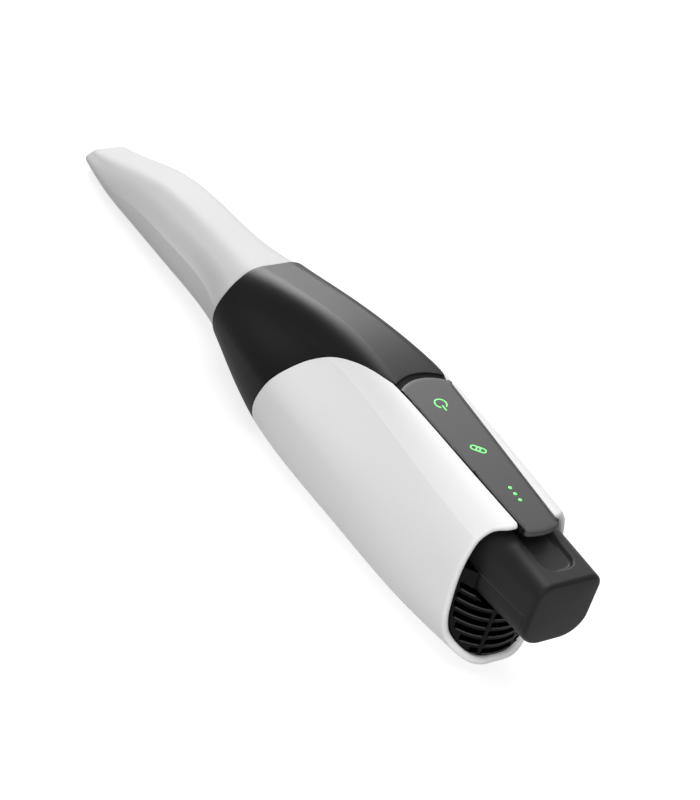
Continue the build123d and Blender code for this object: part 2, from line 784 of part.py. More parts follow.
# Optics bench: a top plate with three upright plates and a foot on the chassis
with BuildPart() as optics_bench:
    add(bar(bench_rear, bench_front, bench_half_width, bench_underside, bench_top))
    add(bar(bench_rear, bench_rear + bench_plate, bench_half_width, foot_top, bench_top))
    add(bar(bench_rear, bench_rear + bench_plate, chassis_half_width, chassis_top, bench_top))
    add(bar(foot_rear, bench_rear, chassis_half_width, chassis_top, foot_top))
    add(bar(bench_middle, bench_middle + bench_plate, bench_half_width, bench_clear, bench_top))
    add(bar(bench_front - bench_plate, bench_front, bench_half_width, bench_clear, bench_top))
    add(lining_form, mode=Mode.INTERSECT)
    add(rod(bench_middle, bench_middle + bench_plate, snout_bore), mode=Mode.SUBTRACT)
    add(rod(bench_front - bench_plate, bench_front, snout_radius + fit_gap), mode=Mode.SUBTRACT)
    for out in (-rod_out, rod_out):
        add(rod(bench_middle, bench_front, rod_radius, out=out), mode=Mode.SUBTRACT)
    for out, up in bench_holes:
        add(rod(bench_front - bench_plate, bench_front, screw_radius, up, out), mode=Mode.SUBTRACT)
    with BuildSketch(Plane.XY.offset(foot_top)):
        with Locations(*foot_places):
            Circle(screw_radius)
    extrude(amount=chassis_top - foot_top, mode=Mode.SUBTRACT)
optics_bench.part.label = "optics_bench"
export_step(optics_bench.part, "parts/optics_bench.step")

with BuildPart() as bench_screws:
    for out, up in bench_holes:
        add(rod(bench_front - bench_plate - screw_head, bench_front - bench_plate, screw_head_radius, up, out))
        add(rod(bench_front - bench_plate, bench_front + screw_bite, screw_radius, up, out))
    with BuildSketch(Plane.XY.offset(foot_top)):
        with Locations(*foot_places):
            Circle(screw_head_radius)
    extrude(amount=screw_head)
    with BuildSketch(Plane.XY.offset(chassis_bottom)):
        with Locations(*foot_places):
            Circle(screw_radius)
    extrude(amount=foot_top - chassis_bottom)
bench_screws.part.label = "bench_screws"
export_step(bench_screws.part, "parts/bench_screws.step")

with BuildPart() as guide_rods:
    for out in (-rod_out, rod_out):
        add(rod(bench_middle, bench_front, rod_radius, out=out))
guide_rods.part.label = "guide_rods"
export_step(guide_rods.part, "parts/guide_rods.step")

# Snout tube with a lens at each end
with BuildPart() as snout_tube:
    add(rod(bench_front - bench_plate, snout_front, snout_radius))
    add(rod(bench_front - bench_plate, snout_front, snout_bore), mode=Mode.SUBTRACT)
snout_tube.part.label = "snout_tube"
export_step(snout_tube.part, "parts/snout_tube.step")

with BuildPart() as relay_lens:
    add(lens(ring_station, snout_bore - fit_gap))
relay_lens.part.label = "relay_lens"
export_step(relay_lens.part, "parts/relay_lens.step")

with BuildPart() as front_lens:
    add(lens(snout_front - lens_thickness - lens_bulge, snout_bore - fit_gap))
front_lens.part.label = "front_lens"
export_step(front_lens.part, "parts/front_lens.step")

# Focus drive: lens carriage on two rods, moved by a coil in a ring magnet
with BuildPart() as focus_carriage:
    with BuildSketch(Plane.YZ.offset(carriage_rear)):
        with Locations((0, axis_up)):
            Circle(carriage_radius)
            Rectangle(2 * rod_out, 2 * ear_radius)
        with Locations((-rod_out, axis_up), (rod_out, axis_up)):
            Circle(ear_radius)
            Circle(rod_radius + fit_gap, mode=Mode.SUBTRACT)
        with Locations((0, axis_up)):
            Circle(lens_radius + fit_gap, mode=Mode.SUBTRACT)
    extrude(amount=carriage_depth)
focus_carriage.part.label = "focus_carriage"
export_step(focus_carriage.part, "parts/focus_carriage.step")

with BuildPart() as focus_lens:
    add(lens(carriage_rear + (carriage_depth - lens_thickness) / 2, lens_radius))
focus_lens.part.label = "focus_lens"
export_step(focus_lens.part, "parts/focus_lens.step")

with BuildPart() as focus_coil:
    add(rod(carriage_rear - drive_length, carriage_rear, coil_radius))
    add(rod(carriage_rear - drive_length, carriage_rear, coil_radius - coil_wall), mode=Mode.SUBTRACT)
focus_coil.part.label = "focus_coil"
export_step(focus_coil.part, "parts/focus_coil.step")

with BuildPart() as coil_magnet:
    add(rod(magnet_rear, magnet_rear + drive_length, magnet_radius))
    add(rod(magnet_rear, magnet_rear + drive_length, magnet_bore), mode=Mode.SUBTRACT)
coil_magnet.part.label = "coil_magnet"
export_step(coil_magnet.part, "parts/coil_magnet.step")

# Beam splitter under the lamp, with the image sensor behind it
with BuildPart() as beam_splitter:
    add(bar(cube_rear, cube_rear + cube_size, cube_size / 2, axis_up - cube_size / 2, cube_top))
beam_splitter.part.label = "beam_splitter"
export_step(beam_splitter.part, "parts/beam_splitter.step")

with BuildPart() as led_module:
    lamp_middle = cube_rear + cube_size / 2
    add(bar(lamp_middle - led_module_size / 2, lamp_middle + led_module_size / 2, led_module_size / 2,
            cube_top, bench_underside))
led_module.part.label = "led_module"
export_step(led_module.part, "parts/led_module.step")

sensor_board_rear = bench_rear + bench_plate
with BuildPart() as sensor_board:
    add(bar(sensor_board_rear, sensor_board_rear + board_thickness, sensor_board_size / 2,
            axis_up - sensor_board_size / 2, axis_up + sensor_board_size / 2))
sensor_board.part.label = "sensor_board"
export_step(sensor_board.part, "parts/sensor_board.step")

sensor_rear = sensor_board_rear + board_thickness
with BuildPart() as image_sensor:
    add(bar(sensor_rear, sensor_rear + sensor_thickness, sensor_size / 2,
            axis_up - sensor_size / 2, axis_up + sensor_size / 2))
image_sensor.part.label = "image_sensor"
export_step(image_sensor.part, "parts/image_sensor.step")

# Scanning sleeve: hollow, closed at the tip, with a window in its sole
sleeve_floor_up = sleeve_sections[-2].bottom + sleeve_wall
with BuildPart() as sleeve_space:
    add(sleeve_hollow)
    split(bisect_by=Plane.YZ.offset(tip_station - tip_wall), keep=Keep.BOTTOM)

with BuildPart() as scan_sleeve:
    add(sleeve_form)
    add(sleeve_space.part, mode=Mode.SUBTRACT)
    split(bisect_by=Plane.YZ.offset(sleeve_rear), keep=Keep.TOP)
    add(bar(window_rear, window_front, window_half_width, sleeve_floor_up - window_thickness, sleeve_floor_up),
        mode=Mode.SUBTRACT)
    add(bar(window_rear + window_ledge, window_front - window_ledge, window_half_width - window_ledge,
            0, sleeve_floor_up), mode=Mode.SUBTRACT)
scan_sleeve.part.label = "scan_sleeve"
export_step(scan_sleeve.part, "parts/scan_sleeve.step")

with BuildPart() as sleeve_window:
    add(bar(window_rear + fit_gap, window_front - fit_gap, window_half_width - fit_gap,
            sleeve_floor_up - window_thickness, sleeve_floor_up))
sleeve_window.part.label = "sleeve_window"
export_step(sleeve_window.part, "parts/sleeve_window.step")

with BuildSketch(Plane.XZ) as carrier_side:
    with BuildLine():
        Polyline(
            (mirror_rear, mirror_rear_up),
            (mirror_front, mirror_front_up),
            (mirror_front, sleeve_sections[0].top),
            (mirror_rear, sleeve_sections[0].top),
            close=True,
        )
    make_face()

with BuildPart() as mirror_carrier:
    add(form(sleeve_sections, sleeve_wall + fit_gap))
    extrude(carrier_side.sketch, amount=40, both=True, mode=Mode.INTERSECT)
mirror_carrier.part.label = "mirror_carrier"
export_step(mirror_carrier.part, "parts/mirror_carrier.step")

with BuildSketch(Plane.XZ) as mirror_side:
    along = (Vector(mirror_front, mirror_front_up) - Vector(mirror_rear, mirror_rear_up)).normalized()
    down = Vector(along.Y, -along.X) * mirror_thickness
    upper = Vector(mirror_rear, mirror_rear_up) + along * mirror_margin
    lower = Vector(mirror_front, mirror_front_up) - along * mirror_margin
    with BuildLine():
        Polyline(upper, lower, lower + down, upper + down, close=True)
    make_face()

with BuildPart() as sleeve_mirror:
    extrude(mirror_side.sketch, amount=mirror_half_width, both=True)
sleeve_mirror.part.label = "sleeve_mirror"
export_step(sleeve_mirror.part, "parts/sleeve_mirror.step")
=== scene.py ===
"""Cordless intraoral scanner: finished surfaces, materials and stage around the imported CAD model."""

import json
import math

import bmesh
import bpy
import numpy as np
from bpy.props import FloatProperty, FloatVectorProperty, PointerProperty
from mathutils import Matrix, Vector


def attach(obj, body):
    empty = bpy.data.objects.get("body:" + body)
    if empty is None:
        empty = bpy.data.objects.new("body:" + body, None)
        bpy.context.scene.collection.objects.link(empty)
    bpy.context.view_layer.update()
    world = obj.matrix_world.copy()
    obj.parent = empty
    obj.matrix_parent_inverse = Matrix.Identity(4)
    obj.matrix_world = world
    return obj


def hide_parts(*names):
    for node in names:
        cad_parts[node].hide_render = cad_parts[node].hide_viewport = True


bl_info = {
    "name": "Intraoral scanner",
    "version": (1, 0, 0),
    "blender": (4, 5, 0),
    "location": "3D View > Sidebar > Scanner",
    "description": "Builds the visible pieces, the finishes and the stage of a cordless intraoral scanner",
    "category": "Object",
}

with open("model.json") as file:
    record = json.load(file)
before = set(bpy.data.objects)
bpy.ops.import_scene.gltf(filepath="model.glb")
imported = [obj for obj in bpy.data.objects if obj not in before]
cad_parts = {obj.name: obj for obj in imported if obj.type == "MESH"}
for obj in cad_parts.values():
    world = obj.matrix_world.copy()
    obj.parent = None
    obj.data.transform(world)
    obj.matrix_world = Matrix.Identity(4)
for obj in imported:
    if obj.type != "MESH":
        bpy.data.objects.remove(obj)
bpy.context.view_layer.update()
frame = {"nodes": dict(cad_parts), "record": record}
NODES = frame["nodes"]
MM = 0.001

# Cross-sections of the grip and neck and of the sleeve, in millimetres: station, crown half-width, top,
# crease out and up, waist out and up, sole half-width, bottom, fullness, and the four slopes of the outline
GRIP_SECTIONS = np.array([
    (-60, 5.6, 56.0, 15.9, 48.6, 17.8, 22.0, 3.0, 4.2, 0.55, 0, 56, 68, 90),
    (-25, 6.3, 56.0, 16.3, 48.7, 21.2, 24.0, 5.5, -0.3, 0.58, 0, 56, 68, 90),
    (5, 7.6, 56.0, 15.2, 48.5, 23.0, 25.0, 6.5, -0.4, 0.63, 6, 54, 66, 90),
    (35, 5.8, 53.4, 14.0, 45.6, 24.3, 25.5, 7.0, -0.4, 0.68, 14, 52, 60, 90),
    (57, 5.2, 48.2, 13.7, 39.9, 23.6, 24.5, 6.5, 0.3, 0.68, 8, 52, 56, 90),
    (89, 5.0, 37.9, 14.2, 32.2, 18.9, 21.2, 5.0, 5.0, 0.52, 3, 52, 52, 90),
])
SLEEVE_SECTIONS = np.array([
    (89, 5.0, 37.2, 13.6, 32.0, 18.1, 21.5, 5.0, 5.7, 0.52, 3, 48, 48, 76),
    (103, 4.0, 33.8, 11.1, 29.6, 14.4, 20.5, 5.0, 5.4, 0.62, 3, 46, 46, 64),
    (130, 4.0, 29.8, 9.8, 25.8, 13.2, 18.0, 5.0, 3.9, 0.62, 3, 46, 46, 64),
    (155, 4.0, 24.8, 9.6, 21.5, 13.0, 14.5, 5.0, 2.6, 0.60, 3, 46, 46, 70),
    (175, 4.0, 17.0, 9.2, 14.4, 12.2, 9.0, 5.0, 2.2, 0.58, 3, 46, 46, 82),
    (191, 4.0, 10.2, 7.6, 8.6, 9.8, 5.8, 4.5, 2.2, 0.58, 3, 46, 46, 88),
    (198, 4.0, 7.6, 6.8, 6.6, 8.6, 4.8, 4.5, 2.2, 0.58, 3, 46, 46, 90),
])
# How far each of these moves when an outline shrinks by one
SECTION_INWARD = np.array((0, 0, -1, -0.75, -0.66, -1, 0, 0, 1, 0, 0, 0, 0, 0))
# Side view of the shell's two edges, as height and station, and stations to start looking for them
FRONT_EDGE = np.array([
    (57.5, 1.2), (56.1, 6.2), (54.4, 14.8), (51.2, 25.4), (47.2, 33.3), (43.0, 38.5), (39.6, 41.6),
    (36.0, 43.9), (33.0, 45.5), (26.0, 48.3), (18.0, 51.3), (-1.0, 54.5)])
REAR_EDGE = np.array([
    (57.5, -53.9), (55.6, -53.4), (54.1, -51.7), (51.3, -50.1), (46.0, -49.7), (30.0, -50.2),
    (16.0, -51.6), (9.6, -53.8), (5.0, -58.6), (-1.0, -62.5)])
SHELL_GUESS = (-52.0, 30.0)
REST = 0.0  # level that the scanner lies on

# Key panel, with the fade of its grey, the black line painted along its sides as the shade of its seam, and its
# charge lights
PANEL_REAR, PANEL_FRONT, PANEL_TOP, PANEL_WALL = -56.8, 9.3, 55.97, 0.7
PANEL_REAR_HALF, PANEL_FRONT_HALF = 6.2, 9.0
PANEL_BOW, PANEL_FRONT_BOW = 1.0, 3.2
PANEL_FADE, PANEL_SEAM_SHADE = (-57.0, 10.0), (0.2, 0.4)
DOTS_STATION, DOT_PITCH, DOT_HEIGHT = -42.5, 2.6, 0.12
# How far each end of the panel draws in at its corners, and the share of the half-width where that starts
REAR_CORNER, FRONT_CORNER = (1.4, 0.78), (0.8, 0.86)
# Rounding of the panel's sides and front, as way in from the edge and drop
PANEL_EDGE = ((0.3, 0.0), (0.08, 0.07), (0.0, 0.28), (0.0, 1.4))
# Rear lip of the panel with its groove, as way forward and share of the lip's depth
PANEL_LIP = ((0.9, 0.0), (0.5, 0.015), (0.2, 0.06), (0.0, 0.17), (-0.06, 0.3), (0.1, 0.38), (0.12, 0.45),
             (-0.1, 0.53), (-0.22, 0.68), (-0.22, 0.9), (-0.1, 1.0))

# Neck: its rear end at the panel and beside it, the sleeve's seat and the bore for the snout
NECK_REAR, NECK_SIDE_REAR, RING_STATION = 9.6, 8.6, 89.0
SEAT_FRONT, SEAT_GAP = 102.0, 0.35
SNOUT_BORE, SNOUT_UP = 6.65, 14.0
# Cove across the neck before the panel, as way forward and drop, and how it ends beside the panel
NECK_COVE = np.array([
    (0, 0.8), (0.3, 0.8), (0.9, 0.66), (1.5, 0.5), (2.0, 0.36), (2.08, 0.06), (2.2, 0), (2.7, 0)])
COVE_PAST, COVE_FADE = 0.1, 0.5

# Sleeve: its rear end, and the rear and front end of its window
SLEEVE_REAR = 89.9
WINDOW = (171.0, 188.0)

# Battery pack's outline at its rear end, at its step and along its stick: half-width, top, bottom, and the
# rounding of its top and bottom corners. INWARD says which way each goes when the outline shrinks.
BATTERY_TOP = 51.7
BATTERY_END = np.array((11.3, BATTERY_TOP, 28.2, 4.6, 8.0))
BATTERY_STEP = np.array((13.0, BATTERY_TOP, 26.4, 8.4, 8.0))
BATTERY_STICK = np.array((10.8, 48.4, 28.2, 3.0, 3.0))
INWARD = np.array((-1, -1, 1, -1, -1))
LEAST_ROUND = 0.5
BATTERY_REAR, TRAY_REAR, STEP_STATION, STICK_FRONT = -75.0, -72.4, -46.0, -0.1
BATTERY_EDGE, BATTERY_BULGE, CASE_ROUND = 1.3, 0.3, 0.16
THUMB_REAR, THUMB_FINE, THUMB_HALF, THUMB_CORNER, THUMB_WALL = -69.5, -64.0, 5.5, 4.0, 1.5
# Parting line of the case: its level at the rear, its fall, the gap in it and the pale bead along it that is a
# painted highlight
PARTING_REAR, PARTING_FALL, PARTING_GAP = 39.8, -2.8 / 29, 0.15
PARTING_BEAD, PARTING_PROUD, PARTING_END = 0.1, 0.02, -46.5
TRAY_SHRINK, TRAY_MIDDLE = 0.992, np.array((0.0, 39.0))
# Points along the outline's top, round each corner and down its side to the parting line
TOP_POINTS, CORNER_POINTS, SIDE_POINTS = 24, 25, 6
PARTING_COLUMN = TOP_POINTS + CORNER_POINTS + SIDE_POINTS - 1

# Fan grille: a wall bulged about an upright axis, with rows of slots between two ribs
GRILLE_APEX, GRILLE_RADIUS, GRILLE_WALL = -58.0, 20.0, 1.8
GRILLE_TOP, GRILLE_FRONT, GRILLE_SKIRT = 38.0, -45.65, 1.4
GRILLE_CREASE = math.radians(30)
LINING_REAR, LINING_GAP, HOLLOW_PAST = -61.0, 0.2, 2.0
BATTERY_WAY = (-66.0, -40.0)
SLOT_ROWS, SLOT_LOWEST, SLOT_PITCH, SLOT_HEIGHT = 7, 7.9, 3.4, 2.3
SLOT_FRAME, SLOT_CORNER, SLOT_SHORTEST = 3.3, 0.5, 1.2
# The last of these gives the depths below the grille's outside over which the slots' walls turn near black as
# painted shade
SLOT_DEPTH, SLOT_DIP, SLOT_PAINTED_SHADE = (-1.5, 10.5), math.radians(16), (0.5, 0.05)
RIB_OFFSET, RIB_WIDTH = 5.9, 1.0
BEAD_SINK = 0.05

# Camera and light, in the scanner's own frame
CAMERA_PLACE = (-395.80, 391.12, 471.12)
CAMERA_AXES = ((-0.5014, -0.8303, 0.2434), (0.6345, -0.1616, 0.7559), (-0.5883, 0.5334, 0.6078))
CAMERA_FOCUS, IMAGE_HEIGHT, SENSOR_HEIGHT = 2372.7, 800, 36.0
WORLD_LIGHT, FLOOR_GLOW, FLOOR_REACH = 0.26, 0.75, 4.0
LAMPS = (
    # name, place, aim, diameter and power of each round softbox, and whether it only makes highlights
    ("overhead", (-0.1, 0.12, 1.1), (0.0, 0.0, 0.03), 0.9, 6.0, False),
    ("key", (0.62, -0.55, 0.62), (0.0, 0.0, 0.03), 0.8, 4.5, False),
    ("rear left fill", (-0.5, 0.5, 0.3), (-0.03, 0.0, 0.03), 0.4, 2.4, False),
    ("front shine", (0.88, -0.22, 0.38), (0.0, 0.0, 0.03), 0.66, 29.0, True),
    ("top shine", (0.48, 0.06, 0.88), (-0.06, 0.0, 0.04), 0.35, 6.5, True),
)


def linear(code):
    """Linear colour of an sRGB hex value."""
    parts = [int(code[place:place + 2], 16) / 255 for place in (0, 2, 4)]
    return tuple(part / 12.92 if part <= 0.04045 else ((part + 0.055) / 1.055) ** 2.4 for part in parts)


def length(name, description, value):
    """Property for a length, given in millimetres."""
    return FloatProperty(name=name, description=description, default=value * MM, unit="LENGTH", precision=5)


def colour(name, description, code):
    """Property for a colour, given as an sRGB hex value."""
    return FloatVectorProperty(name=name, description=description, default=linear(code), subtype="COLOR",
                               size=3, min=0, max=1)


class ScannerSizes(bpy.types.PropertyGroup):
    """Sizes of the finished pieces."""

    shell_wall: length("Shell wall", "Thickness of the grip's white wall", 2.4)
    rim_round: length("Rim rounding", "Rounding of the grip's rear rim", 1.1)
    seam_round: length("Seam rounding", "Rounding where two mouldings meet", 0.25)
    seam_gap: length("Seam gap", "Gap between two mouldings that meet edge to edge", 0.2)
    sleeve_wall: length("Sleeve wall", "Thickness of the sleeve's wall", 1.4)
    tip_round: length("Tip rounding", "Rounding of the sleeve's blunt end", 1.6)
    panel_lip: length("Panel lip", "Depth of the panel's rear end", 1.9)
    battery_wall: length("Battery wall", "Thickness of the battery case", 1.6)
    thumb_depth: length("Thumb recess", "Depth of the recess that the thumb pulls on", 1.3)
    lip_radius: length("Slot lip", "Radius of the bead under each grille slot", 0.2)
    dot_radius: length("Charge light", "Radius of each charge light", 0.58)


class ScannerColours(bpy.types.PropertyGroup):
    """Colours of the finishes that show."""

    shell: colour("Shell", "White grip shell", "F2F2F2")
    sleeve: colour("Sleeve", "White scanning sleeve", "DCDCDC")
    housing: colour("Housing", "Black neck and grille", "141414")
    battery: colour("Battery", "Black battery case", "202020")
    panel: colour("Panel", "Grey key panel at its front", "626262")
    panel_rear: colour("Panel rear", "Grey key panel at its rear", "515151")
    light: colour("Lights", "Lit signs in the panel", "55E060")


def sizes():
    """The sizes in use, read in millimetres."""
    group = bpy.context.scene.scanner_sizes
    return {name: getattr(group, name) / MM for name in ScannerSizes.__annotations__}


# Surfaces
def through(knots, values, at):
    """Smooth curve through values at rising knots, read at other places along it."""
    gaps = np.diff(knots)
    count = len(knots)
    system = np.eye(count)
    right = np.zeros((count,) + values.shape[1:])
    for i in range(1, count - 1):
        system[i, i - 1:i + 2] = gaps[i - 1], 2 * (gaps[i - 1] + gaps[i]), gaps[i]
        right[i] = 6 * ((values[i + 1] - values[i]) / gaps[i] - (values[i] - values[i - 1]) / gaps[i - 1])
    bend = np.linalg.solve(system, right)
    at = np.asarray(at, float)
    span = np.clip(np.searchsorted(knots, at) - 1, 0, count - 2)
    wide = at.shape + (1,) * (values.ndim - 1)
    gap = gaps[span].reshape(wide)
    before = (at - knots[span]).reshape(wide)
    after = gap - before
    return (bend[span] * (after ** 3 / gap - gap * after) / 6
            + bend[span + 1] * (before ** 3 / gap - gap * before) / 6
            + values[span] * after / gap + values[span + 1] * before / gap)


def skin(sections, station, around):
    """Half-width and height of a housing's surface at a station.

    around counts along the outline: 0 crown, 1 shoulder, 2 side, 3 belly, 4 sole, up to 5 under the middle."""
    station, around = np.broadcast_arrays(np.asarray(station, float), np.asarray(around, float))
    rows = through(sections[:, 0], sections[:, 1:], station.ravel())
    crown, top, crease_out, crease_up, waist_out, waist_up, sole, bottom, full, s0, s1, s2, s3 = rows.T
    a, b, c, d = (np.stack(pair, -1) for pair in (
        (crown, top), (crease_out, crease_up), (waist_out, waist_up), (sole, bottom)))

    def fall(slope):
        slope = np.radians(slope)
        return np.stack((np.cos(slope), -np.sin(slope)), -1)

    shoulder = 0.4 * np.linalg.norm(b - a, axis=1)[:, None]
    side = np.linalg.norm(c - b, axis=1)[:, None] / 3
    nothing = np.zeros_like(crown)
    drop = np.stack((nothing, full * (waist_up - bottom)), -1)
    run = np.stack((full * (waist_out - sole), nothing), -1)
    start = np.stack((nothing, top), -1)
    end = np.stack((nothing, bottom), -1)
    pieces = [
        (start, start + (a - start) / 3, a - (a - start) / 3, a),
        (a, a + shoulder * fall(s0), b - shoulder * fall(s1), b),
        (b, b + side * fall(s2), c - side * fall(s3), c),
        (c, c - drop, d + run, d),
        (d, d + (end - d) / 3, end - (end - d) / 3, end),
    ]
    place = np.clip(around.ravel(), 0, 5)
    which = np.minimum(place.astype(int), 4)
    t = (place - which)[:, None]
    found = np.zeros((len(place), 2))
    for index, (p, q, r, s) in enumerate(pieces):
        curve = (1 - t) ** 3 * p + 3 * t * (1 - t) ** 2 * q + 3 * t * t * (1 - t) * r + t ** 3 * s
        found = np.where((which == index)[:, None], curve, found)
    return found[:, 0].reshape(station.shape), found[:, 1].reshape(station.shape)


def eased(count):
    """Places from 0 to 1 that crowd towards the ends."""
    return (1 - np.cos(np.linspace(0, np.pi, count))) / 2


def spread(*counts):
    """Outline places for a whole half-section: crown, shoulder, side, belly and sole."""
    parts = [index + eased(count)[:-1] for index, count in enumerate(counts)]
    return np.concatenate(parts + [[5.0]])


def edge_station(edge, up):
    """Station of a shell edge at a height."""
    order = np.argsort(edge[:, 0])
    return through(edge[order, 0], edge[order, 1:], up)[..., 0]


def meet(sections, edge, around, guess, shift=0.0):
    """Stations where the outline places meet a shell edge."""
    station = np.full(around.shape, float(guess))
    for _ in range(40):
        up = skin(sections, station, around)[1]
        station = 0.5 * station + 0.5 * (edge_station(edge, up) + shift)
    return station


def mirrored(half):
    """Whole ring of rows from the left half, which ends on the middle plane."""
    return np.concatenate((half, half[:, -2::-1] * (1, -1, 1)), axis=1)


# Meshes
def grid_faces(rows, columns, keep=None, round_rows=False, round_columns=False):
    """Four-sided faces over rows and columns of points, closed round where asked."""
    faces = []
    for row in range(rows if round_rows else rows - 1):
        after = (row + 1) % rows * columns
        for column in range(columns if round_columns else columns - 1):
            beside = (column + 1) % columns
            if keep is None or keep(row, column):
                faces.append((row * columns + column, row * columns + beside, after + beside, after + column))
    return faces


def piece(name, points, faces):
    """Object with these faces over points in millimetres, facing outwards."""
    mesh = bpy.data.meshes.new(name)
    mesh.from_pydata((points.reshape(-1, 3) * MM).tolist(), [], faces)
    return settled(name, mesh)


def sheet(name, points, keep=None):
    """Open skin over rows and columns of points, with the faces that keep lets stand."""
    return piece(name, points, grid_faces(*points.shape[:2], keep))


def settled(name, mesh):
    """Linked object whose mesh is merged, free of stray points and turned outwards."""
    work = bmesh.new()
    work.from_mesh(mesh)
    bmesh.ops.remove_doubles(work, verts=work.verts, dist=1e-6)
    bmesh.ops.dissolve_degenerate(work, edges=work.edges, dist=1e-6)
    bmesh.ops.delete(work, geom=[vert for vert in work.verts if not vert.link_faces], context="VERTS")
    turn_out(work)
    for face in work.faces:
        face.smooth = True
    work.to_mesh(mesh)
    work.free()
    made = bpy.data.objects.new(name, mesh)
    bpy.context.scene.collection.objects.link(made)
    return made


def turn_out(work):
    """Make the faces agree and point away from the piece's middle line."""
    bmesh.ops.recalc_face_normals(work, faces=work.faces)
    low = min(vert.co.z for vert in work.verts)
    high = max(vert.co.z for vert in work.verts)
    outward = 0.0
    for face in work.faces:
        centre = face.calc_center_median()
        outward += face.calc_area() * face.normal.dot(Vector((0, centre.y, centre.z - (low + high) / 2)))
    if outward < 0:
        bmesh.ops.reverse_faces(work, faces=work.faces)


def applied(made):
    """Turn the evaluated shape into a plain mesh and drop the modifiers."""
    bpy.context.view_layer.update()
    shape = made.evaluated_get(bpy.context.evaluated_depsgraph_get())
    mesh = bpy.data.meshes.new_from_object(shape)
    made.modifiers.clear()
    made.data = mesh
    return made


def thickened(made, wall, even=True):
    """Give an open skin its wall, inwards, held to its thickness round corners where even."""
    solid = made.modifiers.new("wall", "SOLIDIFY")
    solid.thickness = wall * MM
    solid.offset = -1
    solid.use_even_offset = even
    return applied(made)


def softened(made, width, segments=3, sharpest=40):
    """Round the edges that turn by more than an angle in degrees."""
    work = bmesh.new()
    work.from_mesh(made.data)
    weight = work.edges.layers.float.new("bevel_weight_edge")
    least = math.radians(sharpest)
    sharp = [edge for edge in work.edges if len(edge.link_faces) == 2 and edge.calc_face_angle() > least]
    if not sharp:
        raise RuntimeError(f"{made.name} has no sharp edge to round")
    for edge in sharp:
        edge[weight] = 1.0
    work.to_mesh(made.data)
    work.free()
    bevel = made.modifiers.new("rounding", "BEVEL")
    bevel.limit_method = "WEIGHT"
    bevel.width = width * MM
    bevel.segments = segments
    bevel.use_clamp_overlap = True
    bevel.loop_slide = False
    applied(made)
    made.data.shade_smooth()
    return made


def finished(made, material, body, slot, *nodes):
    """Dress a piece, let it ride on its body and stand for its CAD nodes."""
    made.data.materials.clear()
    made.data.materials.append(material)
    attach(made, body)
    if nodes:
        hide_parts(*nodes)
    return made


# Materials
def add_node(tree, kind, inputs=None, **settings):
    """Add a node, with its settings and with values or sockets for its inputs."""
    made = tree.nodes.new(kind)
    for name, value in settings.items():
        setattr(made, name, value)
    for name, value in (inputs or {}).items():
        if isinstance(value, bpy.types.NodeSocket):
            tree.links.new(value, made.inputs[name])
        else:
            made.inputs[name].default_value = value
    return made


def blend(tree, factor, first, second):
    """Socket with a mix of two colours, each a socket or a linear colour."""
    ends = [end if isinstance(end, bpy.types.NodeSocket) else (*end, 1) for end in (first, second)]
    mix = add_node(tree, "ShaderNodeMix", {"Factor": factor, 6: ends[0], 7: ends[1]}, data_type="RGBA")
    return mix.outputs[2]


def ranged(tree, value, given, wanted=(0.0, 1.0), clamp=True):
    """Socket that carries a value from one range over to another."""
    node = add_node(tree, "ShaderNodeMapRange", {"Value": value, "From Min": given[0], "From Max": given[1],
                                                 "To Min": wanted[0], "To Max": wanted[1]}, clamp=clamp)
    return node.outputs["Result"]


def finish(name, base, other, grain, rough, relief, stretch=(1, 1, 1), **fixed):
    """Moulded or machined surface: two close colours, with roughness and relief that follow a grain."""
    material = bpy.data.materials.get(name)
    if material:
        return material
    material = bpy.data.materials.new(name)
    material.use_nodes = True
    tree = material.node_tree
    tree.nodes.clear()
    place = add_node(tree, "ShaderNodeTexCoord").outputs["Object"]
    turned = add_node(tree, "ShaderNodeMapping", {"Vector": place, "Scale": stretch})
    fine = add_node(tree, "ShaderNodeTexNoise", {"Vector": turned.outputs["Vector"], "Scale": 1 / (grain * MM),
                                                 "Detail": 3.0, "Roughness": 0.55})
    cloud = add_node(tree, "ShaderNodeTexNoise", {"Vector": place, "Scale": 1 / (CLOUD * MM), "Detail": 2.0})
    bump = add_node(tree, "ShaderNodeBump", {"Height": fine.outputs["Fac"], "Strength": 0.25,
                                             "Distance": relief * MM})
    shader = add_node(tree, "ShaderNodeBsdfPrincipled", {
        "Base Color": blend(tree, cloud.outputs["Fac"], base, other),
        "Roughness": ranged(tree, fine.outputs["Fac"], (0.3, 0.7), rough),
        "Normal": bump.outputs["Normal"], **fixed})
    add_node(tree, "ShaderNodeOutputMaterial", {"Surface": shader.outputs["BSDF"]})
    return material


CLOUD = 24.0  # width of the slow drift between a finish's two colours
SPECULAR = "Specular IOR Level"
